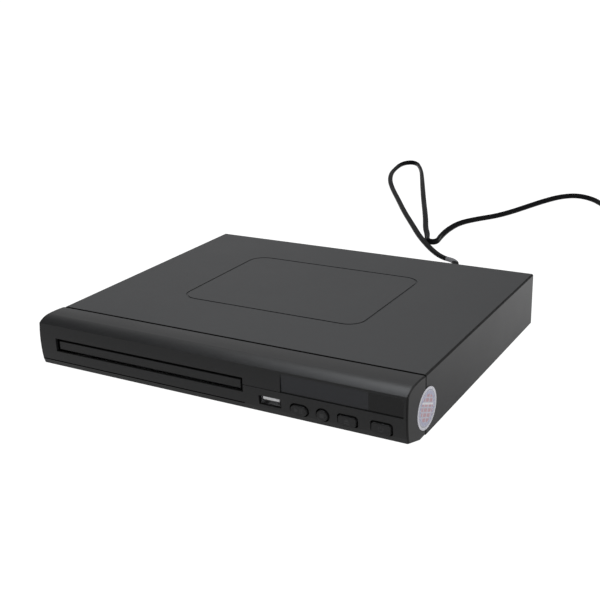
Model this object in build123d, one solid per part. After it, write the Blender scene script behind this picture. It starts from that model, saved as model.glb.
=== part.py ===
from build123d import *
import math
import os

os.makedirs("parts", exist_ok=True)

# A slim disc player with a motor-driven tray, in millimetres. The front faces -Y, +Z is up,
# and the origin is on the surface it stands on, under the middle of the player.

# ---- driving dimensions: the case ----
CASE_W = 270.0          # folded steel cover, side to side
CASE_D = 200.0          # from the seam behind the fascia to the rear panel
CASE_H = 38.0           # from the bottom sheet to the top sheet
FOOT_H = 4.0
SHEET = 0.8             # steel sheet
FASCIA_D = 26.6         # moulded fascia, face to seam
FASCIA_W = 271.0
FASCIA_WALL = 2.0
BUTTON_PROUD = 1.2
JACK_REACH = 8.0        # sockets behind the rear panel
FIT = 0.1               # clearance of parts that are slid into each other
GAP = 0.3               # clearance of parts that move past each other

# ---- driving dimensions: the disc tray ----
DISC_R = 60.0
SMALL_DISC_R = 40.0
TRAY_X = -46.7          # centre line of the tray, left of the middle of the player
TRAY_W = 142.0
SLOT_W = 148.6          # tray opening in the fascia
SLOT_Z0 = 20.9
SLOT_Z1 = 30.3
DOOR_W = 144.2
DOOR_Z0 = 22.5
DOOR_Z1 = 28.3

# ---- driving dimensions: the mains lead ----
CORD_D = 5.6
CORD_X = 34.0           # where the lead leaves the rear panel
CORD_Z = 18.0

# ---- places worked out from the above ----
FRONT_Y = -(FASCIA_D + BUTTON_PROUD + CASE_D + JACK_REACH) / 2
FACE_Y = FRONT_Y + BUTTON_PROUD
SEAM_Y = FACE_Y + FASCIA_D
REAR_Y = SEAM_Y + CASE_D
BOTTOM_Z = FOOT_H
TOP_Z = FOOT_H + CASE_H
FLOOR_Z = BOTTOM_Z + SHEET          # upper face of the bottom sheet
CEIL_Z = TOP_Z - SHEET              # lower face of the top sheet
INNER_X = CASE_W / 2 - SHEET        # inner faces of the cover's sides


# ---- small helpers ----
def block(x0, x1, y0, y1, z0, z1):
    """A rectangular block between two corners."""
    return Pos((x0 + x1) / 2, (y0 + y1) / 2, (z0 + z1) / 2) * Box(x1 - x0, y1 - y0, z1 - z0)


def pillar(x, y, z0, z1, r):
    """A round bar along Z."""
    return Pos(x, y, (z0 + z1) / 2) * Cylinder(r, z1 - z0)


def bar_x(x0, x1, y, z, r):
    """A round bar along X."""
    return Pos((x0 + x1) / 2, y, z) * Rot(0, 90, 0) * Cylinder(r, x1 - x0)


def bar_y(x, y0, y1, z, r):
    """A round bar along Y."""
    return Pos(x, (y0 + y1) / 2, z) * Rot(90, 0, 0) * Cylinder(r, y1 - y0)


def pad(x, y, z0, z1, w, d, r):
    """A plate with rounded corners, lying flat."""
    return Pos(x, y, z0) * extrude(RectangleRounded(w, d, r), z1 - z0)


def front_shape(sketch, x, z, y0, y1):
    """A flat shape seen from the front, extruded from y0 back to y1."""
    return Plane((x, y1, z), x_dir=(1, 0, 0), z_dir=(0, -1, 0)) * extrude(sketch, y1 - y0)


def save(node, shape):
    """Writes one sub-part."""
    export_step(shape, f"parts/{node}.step")


def group(shapes):
    """Keeps separate pieces together in one sub-part."""
    return Compound(children=list(shapes))


# ======================================================================================
# Case
# ======================================================================================
PANEL_W = 140.0         # panel in the top, drawn by a pressed groove round it
PANEL_D = 104.0
PANEL_X = -4.0
PANEL_Y = SEAM_Y + 103.5
PANEL_R = 12.0
PANEL_LINE = 1.4        # width of the groove
PANEL_DEEP = 0.5
FOLD_R = 1.3
REAR_SCREW_X = (-118.0, 0.0, 118.0)
SCREW_R = 1.5


def panel_ring(z0, z1, more):
    """Rounded ring along the panel's groove, wider by more on both sides."""
    wide = PANEL_LINE + 2 * more
    outer = pad(PANEL_X, PANEL_Y, z0, z1, PANEL_W + wide, PANEL_D + wide, PANEL_R + wide / 2)
    return outer - pad(PANEL_X, PANEL_Y, z0 - 1, z1 + 1, PANEL_W - wide, PANEL_D - wide, PANEL_R - wide / 2)


def top_cover():
    """Steel sheet folded down both sides, with a grooved panel in the top."""
    outer = block(-CASE_W / 2, CASE_W / 2, SEAM_Y, REAR_Y, BOTTOM_Z, TOP_Z)
    folds = outer.edges().filter_by(Axis.Y).group_by(Axis.Z)[-1]
    outer = fillet(folds, FOLD_R)
    inner = block(-INNER_X, INNER_X, SEAM_Y - 1, REAR_Y + 1, BOTTOM_Z - 1, CEIL_Z)
    cover = outer - inner
    cover = cover + panel_ring(CEIL_Z - 0.4, CEIL_Z + 0.1, 0.5) - panel_ring(TOP_Z - PANEL_DEEP, TOP_Z + 1, 0.0)
    hem = block(-INNER_X + 2, INNER_X - 2, REAR_Y - 6, REAR_Y - SHEET - FIT, CEIL_Z - 5, CEIL_Z + 0.1)
    hem -= block(-INNER_X, INNER_X, REAR_Y - 7, REAR_Y - 2 * SHEET - FIT, CEIL_Z - 6, CEIL_Z)
    for x in REAR_SCREW_X:
        hem -= bar_y(x, REAR_Y - 8, REAR_Y + 1, CEIL_Z - 2.7, SCREW_R)
    return cover + hem


VENT_L = 22.0
VENT_W = 2.4
FOOT_X = 119.0
FOOT_Y = (SEAM_Y + 13.0, REAR_Y - 18.0)
FOOT_R = 8.0
BOSS_R = 3.2
LOADER_BOSS = [(TRAY_X + sx * 66.0, y) for sx in (-1, 1) for y in (-72.0, 76.0)]
BOARD_BOSS = [(x, y) for x in (50.0, 126.0) for y in (24.0, 92.0)]
POWER_BOSS = [(x, y) for x in (62.0, 124.0) for y in (-72.0, -8.0)]
LOADER_BASE_Z = 8.0     # underside of the loader's frame
BOARD_Z = 11.0          # underside of the circuit boards
BOARD_T = 1.6


def bosses(points, top):
    """Hollow pressed bosses that stand on the bottom sheet and take screws."""
    made = [pillar(x, y, FLOOR_Z - 0.1, top, BOSS_R) - pillar(x, y, FLOOR_Z + 0.6, top + 1, 1.2)
            for x, y in points]
    return made


def base_chassis():
    """Bottom sheet with turned-up sides, vents, foot holes and screw bosses."""
    side = INNER_X - FIT
    front = SEAM_Y + 0.6
    back = REAR_Y - SHEET - FIT
    pan = block(-side, side, front, back, BOTTOM_Z, BOTTOM_Z + 13)
    pan -= block(-side + SHEET, side - SHEET, front - 1, back + 1, FLOOR_Z, BOTTOM_Z + 20)
    front_lip = block(-side + 2, side - 2, front, front + SHEET, FLOOR_Z - 0.1, BOTTOM_Z + 8)
    back_lip = block(-side + 2, side - 2, back - SHEET, back, FLOOR_Z - 0.1, BOTTOM_Z + 6)
    pan = pan + front_lip + back_lip
    for made in bosses(LOADER_BOSS, LOADER_BASE_Z) + bosses(BOARD_BOSS, BOARD_Z) + bosses(POWER_BOSS, BOARD_Z):
        pan += made
    slot = Rot(0, 0, 90) * extrude(SlotOverall(VENT_L, VENT_W), 4)
    vents = [Pos(x, y, BOTTOM_Z - 1) * slot
             for y in (20.0, 50.0, 80.0) for x in [66.0 + 8.0 * i for i in range(6)]]
    vents += [Pos(x, -40.0, BOTTOM_Z - 1) * slot for x in [74.0 + 8.0 * i for i in range(5)]]
    pan -= vents
    for x, y in [(sx * FOOT_X, y) for sx in (-1, 1) for y in FOOT_Y]:
        pan -= pillar(x, y, BOTTOM_Z - 1, FLOOR_Z + 1, 2.0)
    for x in REAR_LOWER_X:
        pan -= bar_y(x, back - 4, back + 2, REAR_LOWER_Z, SCREW_R)
    return pan


# ---- rear panel and its sockets ----
RCA_X = (58.0, 74.0, 90.0)
RCA_Z = 24.0
RCA_R = 4.15            # outer shell of a phono socket
RCA_ROOT_R = 4.5        # the shell's root, as far as the coloured ring reaches
RCA_RING = 2.4
HDMI_X = 112.0
HDMI_Z = 22.0
HDMI_W = 15.0
HDMI_H = 5.6
REAR_LOWER_X = (-124.0, 124.0)
REAR_LOWER_Z = BOTTOM_Z + 3.6
CORD_HOLE_R = 5.0


def rear_panel():
    """Steel rear wall with turned flanges, socket holes and cooling slots."""
    side = INNER_X - FIT
    y0 = REAR_Y - SHEET
    panel = block(-side, side, y0, REAR_Y, BOTTOM_Z + 0.2, CEIL_Z - FIT)
    for x in RCA_X:
        panel -= bar_y(x, y0 - 1, REAR_Y + 1, RCA_Z, RCA_ROOT_R + 0.2)
    panel -= block(HDMI_X - HDMI_W / 2 - 0.5, HDMI_X + HDMI_W / 2 + 0.5, y0 - 1, REAR_Y + 1,
                   HDMI_Z - HDMI_H / 2 - 0.5, HDMI_Z + HDMI_H / 2 + 0.5)
    panel -= bar_y(CORD_X, y0 - 1, REAR_Y + 1, CORD_Z, CORD_HOLE_R)
    slots = [block(x - 1.2, x + 1.2, y0 - 1, REAR_Y + 1, 16, 34) for x in [-106.0 + 6.0 * i for i in range(9)]]
    panel -= slots
    for x in REAR_SCREW_X:
        panel -= bar_y(x, y0 - 1, REAR_Y + 1, CEIL_Z - 2.7, SCREW_R)
    for x in REAR_LOWER_X:
        panel -= bar_y(x, y0 - 1, REAR_Y + 1, REAR_LOWER_Z, SCREW_R)
    return panel


def screw_back(x, z):
    """Pan-head screw driven in from behind."""
    head = bar_y(x, REAR_Y, REAR_Y + 1.6, z, 2.8)
    head = fillet(head.edges().sort_by(Axis.Y)[-1], 0.9)
    cross = block(x - 1.6, x + 1.6, REAR_Y + 0.8, REAR_Y + 2, z - 0.3, z + 0.3)
    cross += block(x - 0.3, x + 0.3, REAR_Y + 0.8, REAR_Y + 2, z - 1.6, z + 1.6)
    shank = bar_y(x, REAR_Y - 4.5, REAR_Y, z, SCREW_R - 0.1)
    return head + shank - cross


def rear_screws():
    upper = [screw_back(x, CEIL_Z - 2.7) for x in REAR_SCREW_X]
    lower = [screw_back(x, REAR_LOWER_Z) for x in REAR_LOWER_X]
    return group(upper + lower)


def feet():
    """Round moulded feet that clip into the bottom sheet."""
    made = []
    for x in (-FOOT_X, FOOT_X):
        for y in FOOT_Y:
            disc = pillar(x, y, 0, FOOT_H, FOOT_R)
            disc = fillet(disc.edges().sort_by(Axis.Z)[0], 1.0)
            disc -= pillar(x, y, -1, 1.0, 4.0)
            clip = pillar(x, y, FOOT_H - 0.5, FLOOR_Z + 1.2, 1.8)
            barb = Pos(x, y, FLOOR_Z + 0.9) * Cone(2.4, 1.4, 1.6)
            made.append(disc + clip + barb)
    return group(made)


# ======================================================================================
# Front: fascia, window, buttons, and the board behind them
# ======================================================================================
BROW_Z = 34.9           # where the face bends into the brow, above the case bottom
TOE_Z = 9.2             # lower edge of the face, above the case bottom
SEAM_GAP = 1.8          # open line between fascia and cover
SEAM_LIP = 1.3          # wall of the lip behind that line
FASCIA_TABS = (-120.0, -60.0, 0.0, 60.0, 120.0)
BUTTON_Z = 12.9         # centre line of the button row, above the case bottom
BUTTON_GAP = 1.0        # open line round a cap
WINDOW_X0 = 53.8
WINDOW_X1 = 133.0
WINDOW_Z0 = 22.1
WINDOW_Z1 = 33.4
WINDOW_T = 1.2
GROOVE = 0.5
USB_X = 46.2
USB_Z = 18.1
USB_W = 15.4
USB_H = 6.0
USB_DEEP = 14.0
BOARD_FRONT_Y = FACE_Y + 11.0       # front face of the upright button board
BUTTONS = {             # x, width, height, corner radius
    "play_button": (66.3, 11.0, 6.0, 2.95),
    "stop_button": (81.8, 7.2, 7.0, 3.49),
    "eject_button": (98.0, 11.4, 5.8, 1.3),
    "power_button": (119.4, 12.0, 6.4, 1.3),
}


def fascia_profile():
    """Side outline of the fascia: flat foot, bevelled toe, upright face, round brow and crown."""
    z = BOTTOM_Z
    foot0 = (SEAM_Y, z + 0.7)
    foot1 = (SEAM_Y - 9.0, z + 0.7)
    toe0 = (FACE_Y + 1.7, z + 5.7)
    toe1 = (FACE_Y + 0.5, z + TOE_Z)
    brow0 = (FACE_Y + 0.4, z + BROW_Z)
    brow_mid = (FACE_Y + 4.67, z + 37.4)
    brow1 = (FACE_Y + 9.5, z + 38.5)
    crown = (SEAM_Y - 8.5, z + 38.6)
    seam = (SEAM_Y, z + CASE_H)
    line = Polyline(seam, foot0, foot1, toe0, toe1)
    front = ThreePointArc(toe1, (FACE_Y - 0.5, z + 21.8), brow0)
    brow = ThreePointArc(brow0, brow_mid, brow1)
    top = ThreePointArc(brow1, crown, seam)
    return make_face(Curve() + [line, front, brow, top])


def button_outline(width, height, radius):
    return RectangleRounded(width, height, radius)


def front_fascia():
    """Moulded front, hollow and open to the rear, with its slot, holes and recesses."""
    profile = Plane.YZ * fascia_profile()
    shell = extrude(profile, FASCIA_W / 2, both=True)
    ends = shell.faces().filter_by(Axis.X).edges().filter_by(lambda e: e.center().Y < SEAM_Y - 0.5)
    shell = fillet(ends, 1.1)
    inner = offset(fascia_profile(), -FASCIA_WALL)
    cavity = extrude(Plane.YZ * inner, FASCIA_W / 2 - FASCIA_WALL, both=True)
    lip_x = INNER_X - 0.5
    lip_z = TOP_Z - SHEET - 0.6
    mouth = block(-lip_x + SEAM_LIP, lip_x - SEAM_LIP, SEAM_Y - 4, SEAM_Y + 1,
                  BOTTOM_Z + 0.7 + FASCIA_WALL, lip_z - SEAM_LIP)
    gap = block(-FASCIA_W, FASCIA_W, SEAM_Y - SEAM_GAP, SEAM_Y + 1, BOTTOM_Z + 3.2, TOP_Z + 5)
    gap -= block(-lip_x, lip_x, SEAM_Y - SEAM_GAP - 1, SEAM_Y + 2, BOTTOM_Z, lip_z)
    shell -= cavity + mouth + gap
    slot = (TRAY_X - SLOT_W / 2, TRAY_X + SLOT_W / 2, FACE_Y - 2, FACE_Y + 6, SLOT_Z0, SLOT_Z1)
    shell -= block(*slot)
    z = BOTTOM_Z + BUTTON_Z
    for x, width, height, radius in BUTTONS.values():
        hole = button_outline(width + 2 * BUTTON_GAP, height + 2 * BUTTON_GAP, radius + BUTTON_GAP)
        shell -= front_shape(hole, x, z, FACE_Y - 2, FACE_Y + 6)
    shell -= block(USB_X - USB_W / 2, USB_X + USB_W / 2, FACE_Y - 2, FACE_Y + 6,
                   USB_Z - USB_H / 2, USB_Z + USB_H / 2)
    recess = block(WINDOW_X0, WINDOW_X1, FACE_Y - 2, FACE_Y + 1.7, BOTTOM_Z + WINDOW_Z0, BOTTOM_Z + WINDOW_Z1)
    recess = fillet(recess.edges().filter_by(Axis.Y).sort_by(lambda e: e.center().X + e.center().Z)[-1], 3.0)
    shell -= recess
    shell -= block(WINDOW_X0 + 8, WINDOW_X1 - 6, FACE_Y, FACE_Y + 6, BOTTOM_Z + WINDOW_Z0 + 1.6,
                   BOTTOM_Z + WINDOW_Z1 - 1.6)
    groove_z = BOTTOM_Z + WINDOW_Z0 - 0.35
    shell -= block(TRAY_X + SLOT_W / 2 - 0.1, WINDOW_X1, FACE_Y - 2, FACE_Y + GROOVE, groove_z, groove_z + 0.35)
    for x in FASCIA_TABS:
        shell += block(x - 5, x + 5, SEAM_Y - 2, SEAM_Y + 3, lip_z - SEAM_LIP, lip_z)
    return shell


def display_window():
    """Smoked plastic window let into the band beside the tray, with one rounded corner."""
    x0 = WINDOW_X0 + FIT
    x1 = WINDOW_X1 - FIT
    z0 = BOTTOM_Z + WINDOW_Z0 + FIT
    z1 = BOTTOM_Z + WINDOW_Z1 - FIT
    pane = block(x0, x1, FACE_Y + 0.4, FACE_Y + 0.4 + WINDOW_T, z0, z1)
    corner = pane.edges().filter_by(Axis.Y).sort_by(lambda e: e.center().X + e.center().Z)[-1]
    pane = fillet(corner, 2.9)
    plug = block(x0 + 9, x1 - 7, FACE_Y + 1.5, FACE_Y + 2.6, z0 + 2, z1 - 2)
    return pane + plug


def push_button(x, width, height, radius):
    """Moulded cap with a flange behind the fascia and a stem that reaches its switch."""
    z = BOTTOM_Z + BUTTON_Z
    cap = front_shape(button_outline(width, height, radius), x, z, FRONT_Y, FACE_Y + 3.4)
    cap = fillet(cap.edges().group_by(Axis.Y)[0], 0.5)
    flange = front_shape(RectangleRounded(width + 3.4, height + 2.8, radius), x, z, FACE_Y + 3.4, FACE_Y + 4.4)
    stem = front_shape(Circle(1.4), x, z, FACE_Y + 4.4, SWITCH_Y - 0.6)
    return cap + flange + stem


SWITCH_Y = BOARD_FRONT_Y - 3.2      # front face of a switch's plunger


def tact_switches():
    """Small square switches on the board, one behind each button."""
    z = BOTTOM_Z + BUTTON_Z
    made = []
    for x, _, _, _ in BUTTONS.values():
        body = block(x - 3, x + 3, BOARD_FRONT_Y - 2.4, BOARD_FRONT_Y, z - 3, z + 3)
        dot = front_shape(Circle(1.7), x, z, SWITCH_Y, BOARD_FRONT_Y - 2.3)
        made.append(body + dot)
    return group(made)


def front_board():
    """Upright circuit board that carries the buttons' switches, the window's display and the USB socket."""
    board = block(33.0, 130.0, BOARD_FRONT_Y, BOARD_FRONT_Y + BOARD_T, BOTTOM_Z + 5.6, BOTTOM_Z + 35)
    for x in (36.5, 126.5):
        board -= bar_y(x, BOARD_FRONT_Y - 1, BOARD_FRONT_Y + 3, BOTTOM_Z + 31.5, 1.5)
    board -= block(USB_X - 8.2, USB_X + 8.2, BOARD_FRONT_Y - 1, BOARD_FRONT_Y + 3, USB_Z - 3.6, USB_Z + 4.6)
    return board


def usb_socket():
    """Folded tin shell, open at the front, with a flared lip and a tongue inside."""
    x0 = USB_X - USB_W / 2 + 0.7
    x1 = USB_X + USB_W / 2 - 0.7
    z0 = USB_Z - USB_H / 2 + 0.3
    z1 = USB_Z + USB_H / 2 - 0.3
    y0 = FACE_Y + 0.9
    shell = block(x0, x1, y0, y0 + USB_DEEP, z0, z1)
    shell -= block(x0 + 0.35, x1 - 0.35, y0 - 1, y0 + USB_DEEP - 0.4, z0 + 0.35, z1 - 0.35)
    springs = [block(x - 1.2, x + 1.2, y0 + 3, y0 + 8, z1 - 1, z1 + 1) for x in (USB_X - 3.4, USB_X + 3.4)]
    return shell - springs


def usb_tongue():
    """Plastic tongue with four contact strips."""
    y0 = FACE_Y + 1.6
    back = FACE_Y + 0.9 + USB_DEEP - 0.4
    z = USB_Z + 0.2
    tongue = block(USB_X - 5.6, USB_X + 5.6, y0, back, z, z + 1.8)
    tongue += block(USB_X - 6.4, USB_X + 6.4, back - 2, back, USB_Z - 2.2, USB_Z + 2.2)
    for x in (-3.5, -1.0, 1.0, 3.5):
        tongue += block(USB_X + x - 0.45, USB_X + x + 0.45, y0 + 0.6, back - 1, z - 0.15, z + 0.1)
    return tongue


def display_module():
    """Four-digit display block behind the window."""
    z = BOTTOM_Z + (WINDOW_Z0 + WINDOW_Z1) / 2
    front = FACE_Y + 3.0
    module = block(66, 106, front, BOARD_FRONT_Y, z - 3.6, z + 3.6)
    digits = [front_shape(RectangleRounded(6.4, 5.6, 0.6) - Rectangle(3.6, 1.4) , x, z, front - 1, front + 0.3)
              for x in (72.0, 81.0, 91.0, 100.0)]
    return module - digits


def ir_receiver():
    """Moulded receiver with a domed lens, behind the dark end of the window."""
    z = BOTTOM_Z + (WINDOW_Z0 + WINDOW_Z1) / 2
    body = block(114, 120, FACE_Y + 5.4, BOARD_FRONT_Y, z - 3, z + 3)
    dome = Pos(117, FACE_Y + 5.4, z) * Sphere(2.3)
    return body + dome


# ======================================================================================
# Gears
# ======================================================================================
PRESSURE = math.radians(20)
BACKLASH = 0.16


def involute(angle):
    return math.tan(angle) - angle


def tooth_half_angle(radius, teeth, module):
    """Half the angle that a tooth takes up at a radius."""
    pitch_r = teeth * module / 2
    base_r = pitch_r * math.cos(PRESSURE)
    here = math.acos(min(1.0, base_r / max(radius, base_r)))
    at_pitch = (math.pi * module / 2 - BACKLASH) / 2 / pitch_r
    return at_pitch + involute(PRESSURE) - involute(here)


def gear_outline(teeth, module, towards=0.0):
    """Involute gear seen from above, with a tooth that points along the angle towards, in degrees."""
    pitch_r = teeth * module / 2
    root_r = pitch_r - 1.2 * module
    tip_r = pitch_r + 0.92 * module
    points = []
    for i in range(teeth):
        middle = math.radians(towards) + 2 * math.pi * i / teeth
        flank = [(r, tooth_half_angle(r, teeth, module)) for r in (root_r, pitch_r, tip_r)]
        rising = [(r, middle - half) for r, half in flank]
        falling = [(r, middle + half) for r, half in reversed(flank)]
        points += [(r * math.cos(a), r * math.sin(a)) for r, a in rising + falling]
    return make_face(Polyline(*points, close=True))


def gear(x, y, z0, z1, teeth, module, towards=0.0):
    return Pos(x, y, z0) * extrude(gear_outline(teeth, module, towards), z1 - z0)


def rack(x, y0, y1, z0, z1, module, mesh_y, side, back):
    """Straight rack along Y with its pitch line at x. Teeth point to side (+1 or -1) and a gap is at mesh_y."""
    pitch = math.pi * module
    half_tip = (pitch / 2 - BACKLASH) / 2 - 0.92 * module * math.tan(PRESSURE)
    half_root = (pitch / 2 - BACKLASH) / 2 + 1.2 * module * math.tan(PRESSURE)
    tip_x = x + side * 0.92 * module
    root_x = x - side * 1.2 * module
    first = math.ceil((y0 + half_root - mesh_y) / pitch - 0.5)
    last = math.floor((y1 - half_root - mesh_y) / pitch - 0.5)
    points = [(root_x - side * back, y0), (root_x, y0)]
    for i in range(first, last + 1):
        middle = mesh_y + (i + 0.5) * pitch
        points += [(root_x, middle - half_root), (tip_x, middle - half_tip)]
        points += [(tip_x, middle + half_tip), (root_x, middle + half_root)]
    points += [(root_x, y1), (root_x - side * back, y1)]
    return Pos(0, 0, z0) * extrude(make_face(Polyline(*points, close=True)), z1 - z0)


# ======================================================================================
# Disc loader
# ======================================================================================
SPIN_Y = -42.0          # turntable's axis, and the disc's centre with the tray in
TRAY_Z0 = 23.4          # underside of the tray
TRAY_Z1 = 28.0          # rims of the tray
DISC_FLOOR = 25.0       # floor of the 120 mm recess
SMALL_FLOOR = 24.4      # floor of the 80 mm recess
TRAY_Y0 = FACE_Y + 3.7
TRAY_Y1 = 72.0
TRAY_SLOT = 46.0        # gap from the centre to the tray's rear end
RACK_X = TRAY_X + 50.0
RACK_MODULE = 1.0
RACK_Z0 = 21.3
PINION_TEETH = 14
WHEEL_TEETH = 30
WHEEL_MODULE = 0.8
PULLEY_TEETH = 12
GEAR_Y = -73.5
TRAY_GEAR_X = RACK_X - PINION_TEETH * RACK_MODULE / 2
PULLEY_X = TRAY_GEAR_X - (WHEEL_TEETH + PULLEY_TEETH) * WHEEL_MODULE / 2
MOTOR_X = PULLEY_X - 36.0
PULLEY_R = 8.4          # bottom of the belt's groove
MOTOR_PULLEY_R = 2.4
BELT = 1.2
POST_R = 1.5
BORE_R = 1.55
DECK_Z0 = 14.4          # gear deck at the front of the loader
DECK_Z1 = 16.0
BELT_Z = 17.3
FRAME_HALF = 74.0
FRAME_WALL = 2.0
FRAME_Y0 = -87.0
FRAME_Y1 = 84.0
FRAME_TOP = 32.6
WELL_HALF = 48.0        # well in the loader's floor for the swinging chassis
WELL_Y0 = -61.0
WELL_Y1 = 54.0
HINGE_Y = 46.0
HINGE_Z = 13.2


def tray():
    """Disc drawer: rimmed plate with recesses for both disc sizes, a gap for the pickup and a rack below."""
    body = block(TRAY_X - TRAY_W / 2, TRAY_X + TRAY_W / 2, TRAY_Y0, TRAY_Y1, TRAY_Z0, TRAY_Z1)
    body = fillet(body.edges().filter_by(Axis.Z).group_by(Axis.Y)[-1], 4.0)
    body -= pillar(TRAY_X, SPIN_Y, DISC_FLOOR, TRAY_Z1 + 1, DISC_R + 1.0)
    body -= pillar(TRAY_X, SPIN_Y, SMALL_FLOOR, TRAY_Z1 + 1, SMALL_DISC_R + 0.8)
    body -= pillar(TRAY_X, SPIN_Y, TRAY_Z0 - 1, TRAY_Z1 + 1, TRAY_SLOT / 2)
    body -= block(TRAY_X - TRAY_SLOT / 2, TRAY_X + TRAY_SLOT / 2, SPIN_Y, TRAY_Y1 + 1, TRAY_Z0 - 1, TRAY_Z1 + 1)
    for side in (-1, 1):
        body -= pad(TRAY_X + side * 49.0, 46.0, TRAY_Z0 + 1.6, TRAY_Z1 + 1, 34.0, 40.0, 4.0)
        body -= pillar(TRAY_X + side * 57.0, SPIN_Y - 57.0, DISC_FLOOR, TRAY_Z1 + 1, 6.0)
        body -= pillar(TRAY_X + side * 60.0, SPIN_Y, DISC_FLOOR, TRAY_Z1 + 1, 9.0)
    body -= block(TRAY_X - 26, TRAY_X + 26, TRAY_Y0 - 1, TRAY_Y0 + 3.0, TRAY_Z0 - 1, TRAY_Z1 - 1.4)
    teeth = rack(RACK_X, GEAR_Y - 7.0, TRAY_Y1 - 2.0, RACK_Z0, TRAY_Z0 + 0.1, RACK_MODULE, GEAR_Y, -1, 1.4)
    return body + teeth


def tray_door():
    """Narrow front strip clipped to the tray, a little behind the fascia's face."""
    strip = block(TRAY_X - DOOR_W / 2, TRAY_X + DOOR_W / 2, TRAY_Y0 - 3.0, TRAY_Y0, DOOR_Z0, DOOR_Z1)
    strip = fillet(strip.edges().group_by(Axis.Y)[0], 0.35)
    for x in (-20.0, 20.0):
        hook = block(TRAY_X + x - 4, TRAY_X + x + 4, TRAY_Y0 - 0.1, TRAY_Y0 + 2.8, TRAY_Z0 + 0.6, TRAY_Z0 + 2.2)
        strip += hook
    return strip


def loader_frame():
    """Moulded tray carrier: side walls with rails, gear deck in front, floor round the chassis well."""
    x0, x1 = TRAY_X - FRAME_HALF, TRAY_X + FRAME_HALF
    floor = block(x0, x1, WELL_Y0, FRAME_Y1, LOADER_BASE_Z, LOADER_BASE_Z + 1.6)
    floor -= block(TRAY_X - WELL_HALF, TRAY_X + WELL_HALF, WELL_Y0 - 1, WELL_Y1, 0, 20)
    frame = floor
    for side in (-1, 1):
        wall = TRAY_X + side * (FRAME_HALF - FRAME_WALL / 2)
        frame += block(wall - FRAME_WALL / 2, wall + FRAME_WALL / 2, FRAME_Y0, FRAME_Y1, LOADER_BASE_Z, FRAME_TOP)
        ledge = TRAY_X + side * (TRAY_W / 2 - 3.0)
        frame += block(ledge - 4.1, ledge + 4.1, FRAME_Y0, FRAME_Y1 - 4, TRAY_Z0 - GAP - 1.6, TRAY_Z0 - GAP)
        for y in (-66.0, 0.0, 62.0):
            tab = TRAY_X + side * (TRAY_W / 2 - 0.5)
            frame += block(tab - 1.6, tab + 1.6, y - 6, y + 6, TRAY_Z1 + GAP, TRAY_Z1 + GAP + 1.4)
        ear_x = TRAY_X + side * 66.0
        frame += block(ear_x - 6, ear_x + 6.1, LOADER_BOSS[0][1] - 6, WELL_Y0 + 0.1, LOADER_BASE_Z, LOADER_BASE_Z + 1.6)
        lug_x = TRAY_X + side * 46.6
        frame += block(lug_x - 1.3, lug_x + 1.5, HINGE_Y - 3, HINGE_Y + 3, LOADER_BASE_Z, HINGE_Z + 3)
        frame += block(min(lug_x, TRAY_X + side * (WELL_HALF + 1)), max(lug_x, TRAY_X + side * (WELL_HALF + 1)),
                       HINGE_Y - 3, HINGE_Y + 3, LOADER_BASE_Z, LOADER_BASE_Z + 1.6)
    frame -= bar_x(TRAY_X - 49, TRAY_X + 49, HINGE_Y, HINGE_Z, BORE_R)
    deck = block(x0 + 1, x1 - 1, FRAME_Y0, WELL_Y0, DECK_Z0, DECK_Z1)
    deck -= pillar(MOTOR_X, GEAR_Y, DECK_Z0 - 1, DECK_Z1 + 1, 3.2)
    frame += deck
    for x in (TRAY_GEAR_X, PULLEY_X):
        frame += pillar(x, GEAR_Y, DECK_Z1 - 0.1, TRAY_Z0 - 0.5, POST_R)
        frame += pillar(x, GEAR_Y, DECK_Z1 - 0.1, DECK_Z1 + 0.1, 3.0)
    for x, y in LOADER_BOSS:
        frame -= pillar(x, y, LOADER_BASE_Z - 1, LOADER_BASE_Z + 2, 1.5)
    rear = block(x0, x1, FRAME_Y1 - FRAME_WALL, FRAME_Y1, LOADER_BASE_Z, 20.0)
    ribs = [block(TRAY_X + x - 0.8, TRAY_X + x + 0.8, WELL_Y1 + 2, FRAME_Y1 - 1, LOADER_BASE_Z + 1.5, 14.0)
            for x in (-40.0, -20.0, 0.0, 20.0, 40.0)]
    for rib in [rear] + ribs:
        frame += rib
    return frame


def loading_motor():
    """Small can motor hung under the gear deck."""
    can = pillar(MOTOR_X, GEAR_Y, 5.4, DECK_Z0, 10.0)
    can = fillet(can.edges().sort_by(Axis.Z)[0], 1.0)
    can -= block(MOTOR_X - 11, MOTOR_X + 11, GEAR_Y + 8.2, GEAR_Y + 11, 5, DECK_Z0 - 2)
    can -= block(MOTOR_X - 11, MOTOR_X + 11, GEAR_Y - 11, GEAR_Y - 8.2, 5, DECK_Z0 - 2)
    nose = pillar(MOTOR_X, GEAR_Y, DECK_Z0, DECK_Z0 + 1.2, 3.0)
    shaft = pillar(MOTOR_X, GEAR_Y, DECK_Z0, BELT_Z + 1.4, 0.8)
    return can + nose + shaft


def grooved(x, y, groove_r, flange_r):
    """Two flanges with a belt groove between them, at the belt's height."""
    rim = pillar(x, y, BELT_Z - 1.1, BELT_Z + 1.1, groove_r)
    for z in (BELT_Z - 1.1, BELT_Z + 0.8):
        rim += pillar(x, y, z, z + 0.3, flange_r)
    return rim


def motor_pulley():
    return grooved(MOTOR_X, GEAR_Y, MOTOR_PULLEY_R, 3.8) - pillar(MOTOR_X, GEAR_Y, 10, 20, 0.85)


def drive_belt():
    """Square rubber belt round both pulleys."""
    def loop(extra):
        ends = [Pos(MOTOR_X, GEAR_Y) * Circle(MOTOR_PULLEY_R + extra), Pos(PULLEY_X, GEAR_Y) * Circle(PULLEY_R + extra)]
        return make_hull([edge for end in ends for edge in end.edges()])
    ring = loop(0.05 + BELT) - loop(0.05)
    return Pos(0, 0, BELT_Z - BELT / 2) * extrude(ring, BELT)


WHEEL_Z0 = BELT_Z + 1.3
WHEEL_Z1 = WHEEL_Z0 + 2.0
LINE = 0.0              # direction of the line of centres, towards +X


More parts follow.
